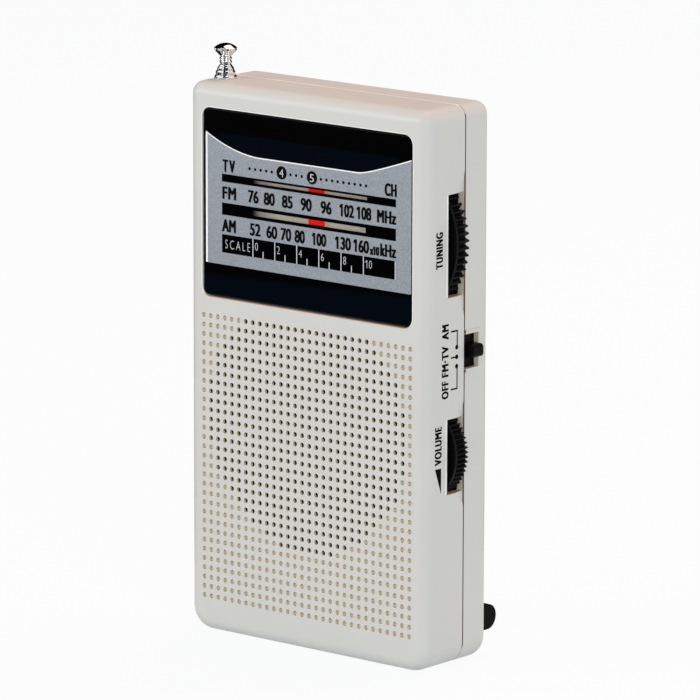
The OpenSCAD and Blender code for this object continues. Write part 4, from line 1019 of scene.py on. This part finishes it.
class RADIO_OT_controls(bpy.types.Operator):
    """Finishes the wheels, the switch knob and the gears"""

    bl_idname = "radio.controls"
    bl_label = "Wheels, knob and gears"

    def execute(self, context):
        wheel = moulded("wheel_plastic", colours().wheel, 0.4, specular=0.1, scratch=0.12)
        paint(["tuning_wheel", "volume_wheel"], wheel)
        paint(["switch_knob"], moulded("knob_plastic", colours().wheel, 0.4, specular=0.07, scratch=0.1))
        paint(["idler_gear"], moulded("gear_plastic", linear(226, 222, 210), 0.4))
        return {"FINISHED"}


class RADIO_OT_aerial(bpy.types.Operator):
    """Finishes the telescopic aerial"""

    bl_idname = "radio.aerial"
    bl_label = "Aerial"

    def execute(self, context):
        plated = (0.82, 0.83, 0.84, 1)
        tube = metal("aerial_chrome", plated, 0.05, brush=(1, 1, 0.05), scale=900, depth=0.000001)
        paint(["aerial_tip", "aerial_tube_1", "aerial_tube_2", "aerial_tube_3", "aerial_base"], tube)
        return {"FINISHED"}


class RADIO_OT_inside(bpy.types.Operator):
    """Finishes everything inside the case"""

    bl_idname = "radio.inside"
    bl_label = "Inner pieces"

    def execute(self, context):
        wanted = {row["node"]: row["material_slot"] for row in frame["record"]["subparts"]}
        slots = {
            "black": moulded("black_plastic", linear(24, 24, 25), 0.45),
            "white": moulded("white_plastic", linear(224, 221, 212), 0.45),
            "steel": metal("plated_steel", (0.62, 0.62, 0.61, 1), 0.28),
            "brass": metal("brass", (0.72, 0.53, 0.24, 1), 0.3, spots=0.06),
            "copper": metal("copper_wire", (0.66, 0.3, 0.16, 1), 0.32, brush=(0.1, 1, 1)),
            "ferrite": moulded("ferrite", linear(46, 44, 44), 0.7, grain=0.00004),
            "cloth": moulded("grille_cloth", linear(46, 38, 27), 0.9, grain=0.0001, grain_scale=1500),
            "cone": moulded("paper_cone", linear(52, 49, 46), 0.85, grain=0.0001, grain_scale=1200),
            "board": moulded("board_laminate", linear(120, 92, 52), 0.5, cloud=0.12),
            "sleeve": moulded("capacitor_sleeve", linear(28, 44, 84), 0.4),
            "ceramic": moulded("ceramic", linear(196, 128, 56), 0.5),
            "cell": self.cell(),
            "wire": moulded("wire_jacket", linear(140, 26, 24), 0.45),
        }
        for name in frame["nodes"]:
            if name not in DRESSED:
                paint([name], slots[wanted[name]])
        return {"FINISHED"}

    def cell(self):
        """Printed sleeve of a dry cell with a pale band at one end, the other way round on the upper cell."""
        f = Finish("cell_sleeve")
        spot = f.place()
        x, _, z = f.axes(spot)
        low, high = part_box("lower_cell")[1].z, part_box("upper_cell")[0].z
        upper = f.rise(z, (low + high) / 2 - 0.00001, (low + high) / 2 + 0.00001)
        along = x * (1 - upper * 2)
        worn = f.noise(spot, 500, 3)
        band = f.rise(along, 0.0092, 0.0093)
        line = f.span(along, 0.0084, 0.0089, 0.00005).most(f.span(along, -0.0185, -0.018, 0.00005))
        green = f.shade(linear(34, 62, 56), worn, 0.08)
        base = f.blend(band, green, f.shade(linear(188, 186, 176), worn, 0.06))
        base = f.blend(line, base, linear(206, 198, 170))
        return f.surface({
            "Base Color": base,
            "Metallic": (band + line) * 0.4,
            "Roughness": 0.32 + (worn - 0.5) * 0.15,
            "Normal": f.bump(worn, 0.000004),
        })


DRESSED = (
    "front_case", "rear_case", "battery_door", "strap_lug", "dial_lens", "dial_backing", "dial_pointer",
    "tuning_wheel", "volume_wheel", "switch_knob", "idler_gear",
    "aerial_tip", "aerial_tube_1", "aerial_tube_2", "aerial_tube_3", "aerial_base",
)

PIECES = (
    RADIO_OT_stage, RADIO_OT_case, RADIO_OT_dial, RADIO_OT_dial_print, RADIO_OT_side_print,
    RADIO_OT_controls, RADIO_OT_aerial, RADIO_OT_inside,
)


class RADIO_PT_panel(bpy.types.Panel):
    """Lists the radio's finishes"""

    bl_label = "Radio"
    bl_space_type = "VIEW_3D"
    bl_region_type = "UI"
    bl_category = "Radio"

    def draw(self, context):
        for piece in PIECES:
            self.layout.operator(piece.bl_idname)
        for group in (context.scene.radio_colours, context.scene.radio_sizes, context.scene.radio_light):
            box = self.layout.box()
            for name in group.__annotations__:
                box.prop(group, name)


CLASSES = (RadioColours, RadioSizes, RadioLight) + PIECES + (RADIO_PT_panel,)


def register():
    for item in CLASSES:
        bpy.utils.register_class(item)
    bpy.types.Scene.radio_colours = bpy.props.PointerProperty(type=RadioColours)
    bpy.types.Scene.radio_sizes = bpy.props.PointerProperty(type=RadioSizes)
    bpy.types.Scene.radio_light = bpy.props.PointerProperty(type=RadioLight)


def unregister():
    del bpy.types.Scene.radio_light
    del bpy.types.Scene.radio_sizes
    del bpy.types.Scene.radio_colours
    for item in reversed(CLASSES):
        bpy.utils.unregister_class(item)


def main():
    register()
    bpy.ops.radio.stage()
    bpy.ops.radio.case()
    bpy.ops.radio.dial()
    bpy.ops.radio.dial_print()
    bpy.ops.radio.side_print()
    bpy.ops.radio.controls()
    bpy.ops.radio.aerial()
    bpy.ops.radio.inside()


if __name__ == "__main__":
    main()
